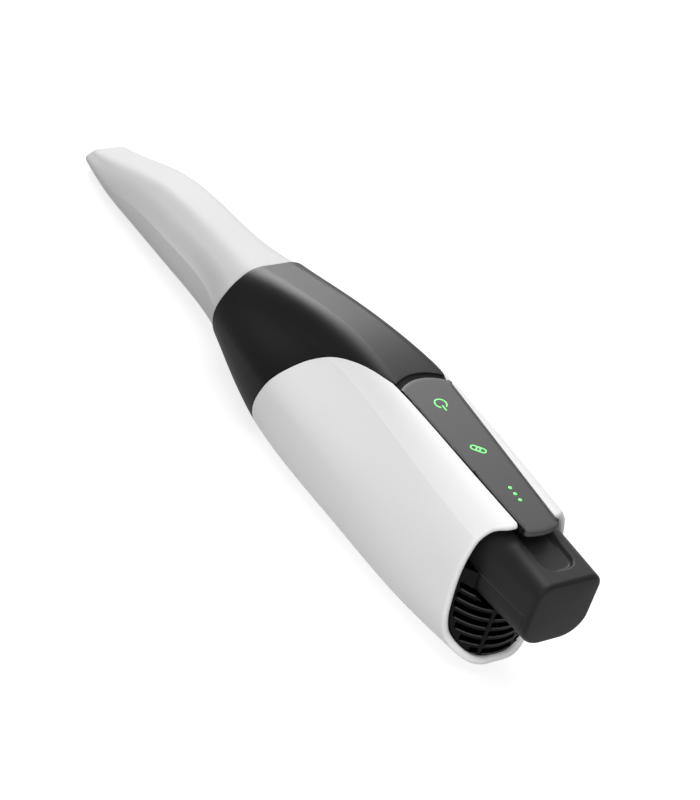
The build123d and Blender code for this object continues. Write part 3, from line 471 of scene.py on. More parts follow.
# For each finish its name, its colour as a hex value or a colour setting, its other colour as a hex value or a
# share of the first, its grain, its least and greatest roughness, its relief, and what else its shader is given
FINISHES = {
    # Satin white ABS from a finely etched mould: even, with a soft broad highlight
    "white_shell": ("satin white ABS", "shell", 0.985, 0.35, (0.34, 0.42), 0.006, {SPECULAR: 0.05}),
    # Matt white heat-proof polymer of the sleeve: chalkier than the grip, with hardly any highlight
    "white_sleeve": ("matt white sleeve polymer", "sleeve", 0.98, 0.3, (0.5, 0.6), 0.008, {SPECULAR: 0.022}),
    # Black polycarbonate with a spark-eroded texture: deep black, grey satin bands where light rakes it
    "black_housing": ("textured black polycarbonate", "housing", 0.8, 0.28, (0.4, 0.52), 0.012,
                      {SPECULAR: 0.042}),
    # Black polycarbonate of the grille: satin on its outside, with painted shade added inside its slots
    "grille": ("black polycarbonate grille", "housing", 0.8, 0.28, (0.38, 0.5), 0.012, {}),
    # Black ABS and polycarbonate blend of the battery case: slightly duller than the neck
    "battery_case": ("satin black battery case", "battery", 0.85, 0.3, (0.42, 0.54), 0.012, {SPECULAR: 0.09}),
    # Painted highlight: pale grey on the beads along black edges, a thin grey line that stands in for light
    # caught by the edge
    "painted_highlight_edge": ("rubbed black edge", "4C4C4C", "404040", 0.25, (0.4, 0.5), 0.006, {SPECULAR: 0.1}),
    # Smoked acrylic of the key panel: mid grey, smooth and even
    "grey_panel": ("smoked acrylic panel", "panel", 1.0, 0.3, (0.42, 0.5), 0.004, {SPECULAR: 0.05}),
    # Frosted light pipe over a green lamp: evenly bright
    "green_light": ("lit green light pipe", "light", 1.1, 0.4, (0.35, 0.45), 0.004,
                    {"Emission Strength": 0.55}),
    # Solder mask: bottle green, glossy, with paler copper beneath
    "circuit_board": ("green solder mask", "0E4A2C", "1B6B3E", 1.2, (0.25, 0.4), 0.03, {}),
    # Moulded epoxy: flat charcoal with a fine pitted face
    "chip_black": ("moulded epoxy", "1B1B1C", "262627", 0.2, (0.55, 0.7), 0.02, {}),
    # Bead-blasted aluminium: pale grey metal with a soft sparkle
    "aluminium": ("bead-blasted aluminium", "C4C6C8", "B4B6B9", 0.3, (0.32, 0.48), 0.02, {"Metallic": 1.0}),
    # Ground steel: darker metal with streaks along its length
    "steel": ("ground steel", "A9A9A8", "8F8F90", 0.25, (0.2, 0.36), 0.01,
              {"Metallic": 1.0, "stretch": (0.08, 1, 1)}),
    # Gold-flashed brass: warm bright contact metal
    "brass": ("gold-flashed brass", "E0B75A", "C99B43", 0.3, (0.14, 0.26), 0.006, {"Metallic": 1.0}),
    # Silicone rubber: dull black with a faint bloom
    "rubber": ("silicone rubber", "161616", "202020", 0.4, (0.7, 0.85), 0.02, {}),
    # Coated optical glass: clear with a faint cool cast
    "optical_glass": ("coated optical glass", "EEF6F4", "E4F0F4", 2.0, (0.0, 0.02), 0.0005,
                      {"IOR": 1.52, "Transmission Weight": 1.0}),
    # Front-silvered mirror: bright metal with almost no scatter
    "mirror": ("front-silvered mirror", "F2F3F3", "ECEEEE", 2.0, (0.01, 0.03), 0.0005, {"Metallic": 1.0}),
    # Shrink sleeve on the cell: glossy blue film with slight ripples
    "cell_wrap": ("blue shrink film", "27498F", "1F3D7C", 3.0, (0.12, 0.22), 0.08, {}),
    # Enamelled winding wire: copper brown with ridges round the coil
    "copper": ("enamelled copper wire", "A8552A", "8A4321", 0.35, (0.22, 0.38), 0.08,
               {"Metallic": 1.0, "stretch": (3, 0.05, 0.05)}),
}


def finish_of(key):
    """The material of a row in the table of finishes."""
    name, base, other, grain, rough, relief, fixed = FINISHES[key]
    if base in ScannerColours.__annotations__:
        first = tuple(getattr(bpy.context.scene.scanner_colours, base))
    else:
        first = linear(base)
    second = linear(other) if isinstance(other, str) else tuple(min(1.0, part * other) for part in first)
    if "Emission Strength" in fixed:
        fixed = {**fixed, "Emission Color": (*first, 1)}
    return finish(name, first, second, grain, rough, relief, **fixed)


def reworked(key):
    """A finish that gets a pattern of its own: material, tree, shader and the three axes of its place.

    The tree is None where the pattern is there already."""
    if FINISHES[key][0] in bpy.data.materials:
        return finish_of(key), None, None, None
    material = finish_of(key)
    tree = material.node_tree
    kinds = {node.bl_idname: node for node in tree.nodes}
    place = kinds["ShaderNodeTexCoord"].outputs["Object"]
    axes = add_node(tree, "ShaderNodeSeparateXYZ", {"Vector": place}).outputs
    return material, tree, kinds["ShaderNodeBsdfPrincipled"], axes


def black_grille():
    """Material of the grille: its finish turns near black and loses its reflection inside the slots, as painted
    shade.
    """
    material, tree, shader, axes = reworked("grille")
    if tree is None:
        return material
    surface = shader.inputs["Base Color"].links[0].from_socket
    along = add_node(tree, "ShaderNodeMath", {0: axes["X"], 1: (GRILLE_APEX + GRILLE_RADIUS) * MM},
                     operation="SUBTRACT")
    flat = add_node(tree, "ShaderNodeCombineXYZ", {"X": along.outputs[0], "Y": axes["Y"]})
    reach = add_node(tree, "ShaderNodeVectorMath", {0: flat.outputs[0]}, operation="LENGTH").outputs["Value"]
    outer = [(GRILLE_RADIUS - depth) * MM for depth in SLOT_PAINTED_SHADE]
    # Painted shade: the slots' inner walls below the outside are coloured near black and lose their reflection
    shade = blend(tree, ranged(tree, reach, outer), linear("030303"), surface)
    tree.links.new(shade, shader.inputs["Base Color"])
    tree.links.new(ranged(tree, reach, outer, (0.0, 0.04)), shader.inputs[SPECULAR])
    return material


def smoked_panel():
    """Material of the key panel: it darkens a little to the rear, with a thin black line along its sides
    painted as the shade of the seam around it.
    """
    material, tree, shader, axes = reworked("grey_panel")
    if tree is None:
        return material
    colours = bpy.context.scene.scanner_colours
    along = ranged(tree, axes["X"], [end * MM for end in PANEL_FADE])
    fade = blend(tree, along, colours.panel_rear, colours.panel)
    half = ranged(tree, axes["X"], (PANEL_REAR * MM, PANEL_FRONT * MM),
                  (PANEL_REAR_HALF * MM, PANEL_FRONT_HALF * MM), clamp=False)
    aside = add_node(tree, "ShaderNodeMath", {0: axes["Y"]}, operation="ABSOLUTE")
    inside = add_node(tree, "ShaderNodeMath", {0: half, 1: aside.outputs[0]}, operation="SUBTRACT")
    # Painted shade: a thin near-black line along the panel's sides stands in for the shade in the seam between
    # panel and shell
    line = ranged(tree, inside.outputs[0], [end * MM for end in PANEL_SEAM_SHADE])
    tree.links.new(blend(tree, line, linear("101010"), fade), shader.inputs["Base Color"])
    return material


# Grip and neck
def panel_half(station):
    """Half-width of the key panel at a station."""
    share = (np.asarray(station, float) - PANEL_REAR) / (PANEL_FRONT - PANEL_REAR)
    return PANEL_REAR_HALF + share * (PANEL_FRONT_HALF - PANEL_REAR_HALF)


def panel_edge(station, gap):
    """Outline place on the shoulder where the panel's slot begins."""
    low = np.full(np.shape(station), 1.0)
    high = np.full(np.shape(station), 2.0)
    for _ in range(30):
        middle = (low + high) / 2
        inside = skin(GRIP_SECTIONS, station, middle)[0] < panel_half(station) + gap
        low = np.where(inside, middle, low)
        high = np.where(inside, high, middle)
    return low


def facing(points):
    """Unit normals of a grid of points on the left half, outwards, and its unit direction along the columns."""
    along = np.gradient(points, axis=0)
    across = np.gradient(points, axis=1)
    normal = np.cross(along, across)
    normal /= np.linalg.norm(normal, axis=-1, keepdims=True)
    if (normal[..., 1] * points[..., 1]).sum() < 0:
        normal = -normal
    return normal, along / np.linalg.norm(along, axis=-1, keepdims=True)


def edge_loop(row, normal, ahead, wall, radius):
    """Rows that lead round the edge of a wall, from its outside to its inside, rounded by radius."""
    turns = np.linspace(0, math.pi / 2, 6)
    depths = [radius * (1 - math.cos(turn)) for turn in turns]
    depths += [wall - depth for depth in reversed(depths)]
    reach = [radius * math.sin(turn) for turn in turns]
    reach += list(reversed(reach))
    return [row - depth * normal + far * ahead for depth, far in zip(depths, reach)]


def walled(name, points, wall, rear_round, front_round):
    """Closed wall under an open half skin and its mirror image, with rounded rear and front edges."""
    normal, along = facing(points)
    inner = points - wall * normal
    front = edge_loop(points[-1], normal[-1], along[-1], wall, front_round)
    rear = edge_loop(points[0], normal[0], -along[0], wall, rear_round)
    loop = mirrored(np.array(list(points) + front[1:-1] + list(inner[::-1]) + rear[-2:0:-1]))
    rows, columns = loop.shape[:2]
    faces = grid_faces(rows, columns, round_rows=True)
    # The wall's two cut sides: each row of the outside is joined to its partner on the inside
    partner = list(range(len(points) * 2 + len(front) - 3, -1, -1))
    turned = len(partner)
    partner += [rows - 1 - (row - turned) for row in range(turned, rows)]
    for side in (0, columns - 1):
        for row in range(rows):
            after = (row + 1) % rows
            quad = (row, after, partner[after], partner[row])
            if row < partner[row] and len(set(quad)) == 4:
                faces.append(tuple(place * columns + side for place in quad))
    return piece(name, loop, faces)


class SCANNER_OT_grip(bpy.types.Operator):
    """Build the white grip shell with its rounded rear rim"""

    bl_idname = "scanner.grip"
    bl_label = "Grip shell"

    def execute(self, context):
        use = sizes()
        shares = np.concatenate((eased(17)[:-1], 1 + eased(25)[:-1], 2 + eased(29)[:-1], [3.0, 3.35, 3.7, 4.0]))
        rows = np.linspace(0, 1, 90)
        station = np.tile(np.linspace(*SHELL_GUESS, len(rows))[:, None], (1, len(shares)))
        for _ in range(12):
            slot = panel_edge(station, use["seam_gap"])
            around = np.where(shares < 1, slot + shares * (2 - slot), 1 + shares)
            up = skin(GRIP_SECTIONS, station, around)[1]
            rear = edge_station(REAR_EDGE, up[:1]) + use["rim_round"]
            front = edge_station(FRONT_EDGE, up[-1:]) - use["seam_round"]
            station = 0.4 * station + 0.6 * (rear + (front - rear) * rows[:, None])
        out, up = skin(GRIP_SECTIONS, station, around)
        points = np.stack((station, out, np.maximum(up, REST)), -1)
        shell = walled("grip_skin", points, use["shell_wall"], use["rim_round"], use["seam_round"])
        finished(shell, finish_of("white_shell"), "base", "white_shell", "grip_shell")
        return {"FINISHED"}


def drawn_in(sections, inset):
    """The same cross-sections, this far inside their surface."""
    return sections + inset * SECTION_INWARD


def ring(sections, station, around):
    """Half outline at one station, as a row of points."""
    out, up = skin(sections, np.full(len(around), float(station)), around)
    return np.stack((np.full(len(around), float(station)), out, up), -1)


def closing(row, station, shares):
    """Rows that shrink an outline to its middle, to close an end."""
    middle = np.array((station, 0.0, (row[:, 2].max() + row[:, 2].min()) / 2))
    return [middle + (row - middle) * share for share in shares]


class SCANNER_OT_neck(bpy.types.Operator):
    """Build the black neck with the collar that carries the sleeve"""

    bl_idname = "scanner.neck"
    bl_label = "Neck housing"

    def execute(self, context):
        use = sizes()
        around = spread(7, 17, 17, 21, 4)
        rear = meet(GRIP_SECTIONS, FRONT_EDGE, around, SHELL_GUESS[1], use["seam_gap"])
        out = skin(GRIP_SECTIONS, np.full(around.shape, NECK_REAR), around)[0]
        beside = panel_half(PANEL_FRONT) + COVE_PAST
        rear = np.where(out < beside, NECK_REAR - PANEL_FRONT_BOW * np.minimum(out / beside, 1) ** 2,
                        np.maximum(rear, NECK_SIDE_REAR))
        rows = np.concatenate((np.linspace(0, 0.985, 64), [1.0]))
        start = rear + NECK_COVE[-1, 0]
        station = np.concatenate((rear + NECK_COVE[:-1, :1], start + (RING_STATION - start) * rows[:, None]))
        out, up = skin(GRIP_SECTIONS, station, np.broadcast_to(around, station.shape))
        cove = len(NECK_COVE)
        up[:cove] -= NECK_COVE[:, 1:] * np.clip((beside - out[:cove]) / COVE_FADE, 0, 1)
        half = list(np.stack((station, out, np.maximum(up, REST)), -1))
        seat = drawn_in(SLEEVE_SECTIONS, use["sleeve_wall"] + SEAT_GAP)
        half += [ring(seat, place, around) for place in np.linspace(RING_STATION, SEAT_FRONT, 8)]
        turn = np.linspace(math.pi / 2, -math.pi / 2, len(around))
        bore = np.stack((np.full(len(around), SEAT_FRONT), SNOUT_BORE * np.cos(turn),
                         SNOUT_UP + SNOUT_BORE * np.sin(turn)), -1)
        half += [half[-1] + (bore - half[-1]) * share for share in (0.5, 1.0)]
        neck = sheet("neck_skin", mirrored(np.array(half)))
        thickened(neck, use["sleeve_wall"])
        softened(neck, use["seam_round"])
        finished(neck, finish_of("black_housing"), "base", "black_housing", "neck_housing")
        return {"FINISHED"}


class SCANNER_OT_sleeve(bpy.types.Operator):
    """Build the white sleeve with its blunt rounded tip and the window's opening"""

    bl_idname = "scanner.sleeve"
    bl_label = "Scanning sleeve"

    def execute(self, context):
        use = sizes()
        around = spread(6, 15, 15, 17, 6)
        tip = SLEEVE_SECTIONS[-1, 0]
        straight = tip - use["tip_round"]
        places = np.unique(np.concatenate((np.linspace(SLEEVE_REAR, straight, 84), WINDOW)))
        half = [ring(SLEEVE_SECTIONS, place, around) for place in places]
        for turn in np.radians((18, 36, 54, 72, 90)):
            inset = use["tip_round"] * (1 - math.cos(turn))
            place = straight + use["tip_round"] * math.sin(turn)
            half.append(ring(drawn_in(SLEEVE_SECTIONS, inset), place, around))
        half += closing(half[-1], tip, (0.75, 0.5, 0.25, 0.0))
        points = mirrored(np.array(half))
        columns = points.shape[1]
        first = int(np.searchsorted(around, 4.0))
        in_sole = range(first, columns - 1 - first)
        in_window = [row for row, place in enumerate(places) if WINDOW[0] <= place < WINDOW[1]]
        sleeve = sheet("sleeve_skin", points, lambda row, column: row not in in_window or column not in in_sole)
        thickened(sleeve, use["sleeve_wall"])
        softened(sleeve, use["seam_round"])
        finished(sleeve, finish_of("white_sleeve"), "sleeve", "white_sleeve", "scan_sleeve")
        return {"FINISHED"}


class SCANNER_OT_panel(bpy.types.Operator):
    """Build the grey key panel with its grooved rear lip"""

    bl_idname = "scanner.panel"
    bl_label = "Key panel"

    def execute(self, context):
        lip = sizes()["panel_lip"]
        across = np.linspace(-0.97, 0.97, 33)
        side = np.array([1 - way / PANEL_FRONT_HALF for way, _ in PANEL_EDGE])
        fall = np.array([-drop for _, drop in PANEL_EDGE])
        shares = np.concatenate((-side[::-1], across, side))
        falls = np.concatenate((fall[::-1], np.zeros(len(across)), fall))

        def corner(depth, start):
            return depth * np.clip((np.abs(shares) - start) / (1 - start), 0, 1) ** 2

        def row(station, drop=0.0):
            return np.stack((station, shares * panel_half(station), PANEL_TOP + np.minimum(falls, -drop)), -1)

        rear = PANEL_REAR - PANEL_BOW * (1 - shares ** 2) + corner(*REAR_CORNER)
        front = PANEL_FRONT - PANEL_FRONT_BOW * shares ** 2 - corner(*FRONT_CORNER)
        first, last = front - PANEL_EDGE[0][0], rear + PANEL_LIP[0][0]
        rows = [row(front - way, drop) for way, drop in reversed(PANEL_EDGE)]
        rows += [row(first + (last - first) * place) for place in np.linspace(0.02, 0.98, 40)]
        rows += [row(rear + way, drop * lip) for way, drop in PANEL_LIP]
        panel = sheet("panel_skin", np.array(rows))
        thickened(panel, PANEL_WALL, even=False)
        finished(panel, smoked_panel(), "base", "grey_panel", "key_panel")
        return {"FINISHED"}


# Details that repeat
def grown(name, points, edges, tree, **inputs):
    """Mesh that a node tree grows from points and edges in millimetres, as a plain object."""
    mesh = bpy.data.meshes.new(name)
    mesh.from_pydata([tuple(value * MM for value in point) for point in points], edges, [])
    made = bpy.data.objects.new(name, mesh)
    bpy.context.scene.collection.objects.link(made)
    grower = made.modifiers.new("grower", "NODES")
    grower.node_group = tree
    for item in tree.interface.items_tree:
        if item.item_type == "SOCKET" and item.in_out == "INPUT" and item.name in inputs:
            grower[item.identifier] = inputs[item.name]
    return applied(made)


def new_tree(name, *inputs):
    """Empty geometry tree with named inputs, each given as name, socket kind and default."""
    tree = bpy.data.node_groups.new(name, "GeometryNodeTree")
    tree.interface.new_socket("Geometry", in_out="INPUT", socket_type="NodeSocketGeometry")
    for label, kind, default in inputs:
        socket = tree.interface.new_socket(label, in_out="INPUT", socket_type=kind)
        if default is not None:
            socket.default_value = default
    tree.interface.new_socket("Geometry", in_out="OUTPUT", socket_type="NodeSocketGeometry")
    return tree


def coated(tree, given, geometry):
    """End a tree with real geometry in the material that the tree is given."""
    real = add_node(tree, "GeometryNodeRealizeInstances", {"Geometry": geometry})
    coat = add_node(tree, "GeometryNodeSetMaterial", {"Geometry": real.outputs["Geometry"],
                                                      "Material": given["Material"]})
    add_node(tree, "NodeGroupOutput", {"Geometry": coat.outputs["Geometry"]})
    return tree


def bead_tree():
    """Tree that sweeps a round bead along every edge."""
    tree = new_tree("slot beads", ("Radius", "NodeSocketFloat", 0.2 * MM), ("Sides", "NodeSocketInt", 8),
                    ("Material", "NodeSocketMaterial", None))
    given = add_node(tree, "NodeGroupInput").outputs
    path = add_node(tree, "GeometryNodeMeshToCurve", {"Mesh": given["Geometry"]})
    rim = add_node(tree, "GeometryNodeCurvePrimitiveCircle", {"Resolution": given["Sides"],
                                                              "Radius": given["Radius"]})
    swept = add_node(tree, "GeometryNodeCurveToMesh", {
        "Curve": path.outputs["Curve"], "Profile Curve": rim.outputs["Curve"], "Fill Caps": True})
    smooth = add_node(tree, "GeometryNodeSetShadeSmooth", {"Geometry": swept.outputs["Mesh"]})
    return coated(tree, given, smooth.outputs["Geometry"])


def dome_tree():
    """Tree that sets a low dome on every point."""
    tree = new_tree("light domes", ("Radius", "NodeSocketFloat", 0.6 * MM),
                    ("Height", "NodeSocketFloat", 0.1 * MM), ("Segments", "NodeSocketInt", 20),
                    ("Material", "NodeSocketMaterial", None))
    given = add_node(tree, "NodeGroupInput").outputs
    ball = add_node(tree, "GeometryNodeMeshUVSphere", {
        "Segments": given["Segments"], "Rings": 10, "Radius": 1.0})
    size = add_node(tree, "ShaderNodeCombineXYZ", {
        "X": given["Radius"], "Y": given["Radius"], "Z": given["Height"]})
    low = add_node(tree, "GeometryNodeTransform", {
        "Geometry": ball.outputs["Mesh"], "Scale": size.outputs["Vector"]})
    smooth = add_node(tree, "GeometryNodeSetShadeSmooth", {"Geometry": low.outputs["Geometry"]})
    placed = add_node(tree, "GeometryNodeInstanceOnPoints", {
        "Points": given["Geometry"], "Instance": smooth.outputs["Geometry"]})
    return coated(tree, given, placed.outputs["Instances"])


class SCANNER_OT_charge(bpy.types.Operator):
    """Set the row of charge lights in the panel"""

    bl_idname = "scanner.charge"
    bl_label = "Charge lights"

    def execute(self, context):
        lit = finish_of("green_light")
        points = [(DOTS_STATION + step * DOT_PITCH, 0.0, PANEL_TOP) for step in (-1, 0, 1)]
        dots = grown("charge_domes", points, [], dome_tree(), Radius=sizes()["dot_radius"] * MM,
                     Height=DOT_HEIGHT * MM, Material=lit)
        finished(dots, lit, "base", "green_light", "charge_lights")
        return {"FINISHED"}


# Grille
def block(name, loops):
    """Closed solid through loops of points in millimetres."""
    count = len(loops[0])
    faces = grid_faces(len(loops), count, round_columns=True)
    faces += [tuple(range(count)), tuple(range((len(loops) - 1) * count, len(loops) * count))]
    return piece(name, np.concatenate(loops), faces)


def carved(made, tool, operation="DIFFERENCE"):
    """Cut one solid by another, which is used up."""
    cut = made.modifiers.new("cut", "BOOLEAN")
    cut.operation = operation
    cut.solver = "EXACT"
    cut.object = tool
    applied(made)
    bpy.data.objects.remove(tool)
    return made


def both_sides(half):
    """Closed outline of which this is the left half."""
    return np.concatenate((half, half[-2:0:-1] * (1, -1, 1)))


def lining(extra, front):
    """Solid that fills the rear of the shell, this far inside its lining."""
    rows = drawn_in(GRIP_SECTIONS, sizes()["shell_wall"] + LINING_GAP + extra)
    around = np.linspace(0, 5, 121)
    places = np.linspace(LINING_REAR, front, 7)
    return block("lining", [both_sides(ring(rows, place, around)) for place in places])


def drum(radius):
    """Upright round solid on the grille's axis."""
    turn = np.linspace(0, 2 * math.pi, 241)[:-1]
    flat = np.stack((GRILLE_APEX + GRILLE_RADIUS + radius * np.cos(turn), radius * np.sin(turn), 0 * turn), -1)
    return block("drum", [flat + (0, 0, -1), flat + (0, 0, GRILLE_TOP)])


def battery_way(gap):
    """Space that the battery pack's wide end sweeps, with this much clearance."""
    half, top, bottom, top_round, belly = BATTERY_STEP - gap * INWARD
    turn = np.linspace(0, math.pi / 2, 17)
    out = np.concatenate(([0], half - top_round + top_round * np.sin(turn),
                          half - belly + belly * np.cos(turn), [0]))
    up = np.concatenate(([top], top - top_round + top_round * np.cos(turn),
                         bottom + belly - belly * np.sin(turn), [bottom]))
    ends = [np.stack((np.full(len(out), place), out, up), -1) for place in BATTERY_WAY]
    return block("way", [both_sides(end) for end in ends])


def slot_spans():
    """Middle level and the two ends of every slot in the grille."""
    outline = ring(drawn_in(GRIP_SECTIONS, SLOT_FRAME), GRILLE_FRONT, np.linspace(2, 5, 400))
    half = RIB_OFFSET - RIB_WIDTH / 2
    for row in range(SLOT_ROWS):
        level = SLOT_LOWEST + row * SLOT_PITCH
        edges = (level - SLOT_HEIGHT / 2, level + SLOT_HEIGHT / 2)
        reach = min(float(np.interp(edge, outline[::-1, 2], outline[::-1, 1])) for edge in edges)
        for middle in (-2 * RIB_OFFSET, 0.0, 2 * RIB_OFFSET):
            low, high = max(middle - half, -reach), min(middle + half, reach)
            if high - low > SLOT_SHORTEST:
                yield level, low, high


def slot_cutter(level, low, high):
    """Round-cornered bar that cuts one slot, sloping down to the rear."""
    turn = np.linspace(0, math.pi / 2, 5)
    inner = SLOT_HEIGHT / 2 - SLOT_CORNER
    corners = ((high - SLOT_CORNER, inner), (low + SLOT_CORNER, inner),
               (low + SLOT_CORNER, -inner), (high - SLOT_CORNER, -inner))
    out, up = [], []
    for quarter, (middle, above) in enumerate(corners):
        out.extend(middle + SLOT_CORNER * np.cos(turn + quarter * math.pi / 2))
        up.extend(level + above + SLOT_CORNER * np.sin(turn + quarter * math.pi / 2))
    out, up = np.array(out), np.array(up)
    fall, lie = math.sin(SLOT_DIP), math.cos(SLOT_DIP)
    loops = []
    for back in SLOT_DEPTH:
        deep = (back + level * fall) / lie
        loops.append(np.stack((GRILLE_APEX - up * fall + deep * lie, out, up * lie + deep * fall), -1))
    return block("slot", loops)


def in_battery_way(out, up):
    """Whether a place across the grille is in the space that the battery pack sweeps."""
    half, _, bottom, _, belly = BATTERY_STEP
    aside = max(abs(out) - (half - belly), 0)
    below = max(bottom + belly - up, 0)
    return math.hypot(aside, below) < belly + 2 * SEAT_GAP


def bead_line(level, low, high):
    """Points along the lower edge of a slot, on the grille's outside and clear of the battery pack."""
    points = []
    for out in np.linspace(low + SLOT_CORNER, high - SLOT_CORNER, 25):
        back = GRILLE_RADIUS - math.sqrt((GRILLE_RADIUS - BEAD_SINK) ** 2 - out ** 2)
        up = (level - SLOT_HEIGHT / 2 + back * math.sin(SLOT_DIP)) / math.cos(SLOT_DIP)
        if not in_battery_way(out, up):
            points.append((GRILLE_APEX + back, out, up))
    return points


class SCANNER_OT_grille(bpy.types.Operator):
    """Build the bulged fan grille with its slots, and a bead under every slot"""

    bl_idname = "scanner.grille"
    bl_label = "Fan grille"

    def execute(self, context):
        grille = carved(lining(0, GRILLE_FRONT), drum(GRILLE_RADIUS), "INTERSECT")
        grille.name = "grille_skin"
        carved(grille, battery_way(SEAT_GAP))
        inside = lining(GRILLE_SKIRT, GRILLE_FRONT + HOLLOW_PAST)
        hollow = carved(drum(GRILLE_RADIUS - GRILLE_WALL), inside, "INTERSECT")
        carved(hollow, battery_way(SEAT_GAP + GRILLE_SKIRT))
        carved(grille, hollow)
        points, edges = [], []
        for span in slot_spans():
            carved(grille, slot_cutter(*span))
            start = len(points)
            points += bead_line(*span)
            edges += [(step, step + 1) for step in range(start, len(points) - 1)]
        grille.data.shade_smooth()
        grille.data.set_sharp_from_angle(angle=GRILLE_CREASE)
        finished(grille, black_grille(), "base", "black_housing", "fan_grille")
        pale = finish_of("painted_highlight_edge")
        # The beads' pale grey is a painted highlight along the lower edge of each slot
        beads = grown("grille_beads", points, edges, bead_tree(), Radius=sizes()["lip_radius"] * MM,
                      Material=pale)
        finished(beads, pale, "base", "black_housing")
        return {"FINISHED"}


# Battery pack
def battery_outline(station, share, inset=0.0, stick=False):
    """Row of points of the battery pack's left half at a station, from the top's middle to the bottom's.

    share goes from 0 at the rear end to 1 at the step. The column PARTING_COLUMN lies on the parting line."""
    wide = BATTERY_STICK if stick else BATTERY_END + share * (BATTERY_STEP - BATTERY_END)
    half, top, bottom, *rounds = wide + inset * INWARD
    top_round, bottom_round = (max(size, LEAST_ROUND) for size in rounds)
    parting = PARTING_REAR + (station - BATTERY_REAR) * PARTING_FALL
    turn = np.linspace(0, math.pi / 2, CORNER_POINTS)
    flat, high = half - top_round, top - top_round
    row = [(flat * place, top) for place in np.linspace(0, 1, TOP_POINTS + 1)[:-1]]
    row += [(flat + top_round * math.sin(a), high + top_round * math.cos(a)) for a in turn]
    row += [(half, high + (parting - high) * place) for place in np.linspace(0, 1, SIDE_POINTS + 1)[1:]]
    flat, low = half - bottom_round, bottom + bottom_round
    row += [(half, parting + (low - parting) * place) for place in np.linspace(0, 1, 5)[1:-1]]
    row += [(flat + bottom_round * math.cos(a), low - bottom_round * math.sin(a)) for a in turn]
    row += [(flat * (1 - place), bottom) for place in np.linspace(0, 1, 7)[1:]]
    return np.array([(station, out, up) for out, up in row])


def thumbed(row, depth):
    """The row with the thumb recess pressed into its top."""
    station, out, up = row.T
    reach = THUMB_HALF - THUMB_CORNER
    rear = THUMB_REAR + THUMB_CORNER
    aside = np.maximum(np.abs(out) - reach, 0)
    behind = np.maximum(rear - station, 0)
    outside = np.hypot(aside, behind) - THUMB_CORNER
    rise = np.clip(1 + outside / THUMB_WALL, 0, 3)
    return np.stack((station, out, np.minimum(up, BATTERY_TOP - depth + depth * rise ** 2)), -1)


class SCANNER_OT_battery(bpy.types.Operator):
    """Build the two halves of the battery pack's case"""

    bl_idname = "scanner.battery"
    bl_label = "Battery pack"

    def execute(self, context):
        use = sizes()
        span = STEP_STATION - BATTERY_REAR
        edge = BATTERY_REAR + BATTERY_BULGE
        shares = (0.0, 0.25, 0.5, 0.75)
        half = closing(battery_outline(edge, 0, BATTERY_EDGE), BATTERY_REAR, shares)
        for cap, share in zip(half, shares):
            cap[:, 0] = BATTERY_REAR + BATTERY_BULGE * share ** 2
        for turn in np.radians((0, 15, 30, 45, 60, 75)):
            station = edge + BATTERY_EDGE * (1 - math.cos(turn))
            inset = BATTERY_EDGE * (1 - math.sin(turn))
            half.append(battery_outline(station, (station - BATTERY_REAR) / span, inset))
        places = np.unique(np.concatenate((
            np.linspace(edge + BATTERY_EDGE, THUMB_REAR, 10), np.linspace(THUMB_REAR, THUMB_FINE, 26),
            np.linspace(THUMB_FINE, STEP_STATION, 32), [TRAY_REAR])))
        caps = len(half) + int(np.searchsorted(places, TRAY_REAR))
        for station in places:
            row = battery_outline(station, (station - BATTERY_REAR) / span)
            half.append(thumbed(row, use["thumb_depth"]))
        stick = np.linspace(STEP_STATION, STICK_FRONT, 12)
        half += [battery_outline(station, 1, stick=True) for station in stick]
        last = len(half)
        half += closing(half[-1], STICK_FRONT, (0.7, 0.35, 0.0))
        points = mirrored(np.array(half))
        columns = points.shape[1]
        partings = [PARTING_COLUMN, columns - 1 - PARTING_COLUMN]
        upper = set(range(partings[0])) | set(range(partings[1], columns - 1))

        def case(name, shape, keep, node):
            made = thickened(sheet(name, shape, keep), use["battery_wall"], even=False)
            softened(made, CASE_ROUND, segments=2, sharpest=60)
            finished(made, finish_of("battery_case"), "battery", "black_housing", node)

        case("battery_cover_skin", points, lambda row, column: column in upper or row < caps, "battery_cover")
        line = points[caps:last, PARTING_COLUMN]
        line = line[line[:, 0] <= PARTING_END] + (0, PARTING_PROUD, -PARTING_GAP / 2)
        both = np.concatenate((line, line * (1, -1, 1)))
        joins = [(place + step, place + step + 1) for place in (0, len(line)) for step in range(len(line) - 1)]
        # Painted highlight: a thin pale bead along the parting line stands in for the light on its edge
        pale = finish_of("painted_highlight_edge")
        seam = grown("battery_parting", both.tolist(), joins, bead_tree(), Radius=PARTING_BEAD * MM,
                     Material=pale)
        finished(seam, pale, "battery", "black_housing")
        drawn = points.copy()
        drawn[..., 1:] = TRAY_MIDDLE + (drawn[..., 1:] - TRAY_MIDDLE) * TRAY_SHRINK
        drawn[..., 0] = np.where(points[..., 0] < TRAY_REAR + 0.01, TRAY_REAR + PARTING_GAP, points[..., 0])
        drawn[:, partings, 2] -= PARTING_GAP
        case("battery_tray_skin", drawn, lambda row, column: column not in upper and row >= caps,
             "battery_tray")
        return {"FINISHED"}


# Inner pieces and stage
def dressed(name, material):
    """Give a CAD node its material."""
    slots = NODES[name].data.materials
    slots.clear()
    slots.append(material)


class SCANNER_OT_insides(bpy.types.Operator):
    """Give every piece that keeps its CAD shape the finish of its material"""

    bl_idname = "scanner.insides"
    bl_label = "Inner pieces"

    def execute(self, context):
        for entry in frame["record"]["subparts"]:
            slot = entry["material_slot"]
            dressed(entry["node"], smoked_panel() if slot == "grey_panel" else finish_of(slot))
        return {"FINISHED"}


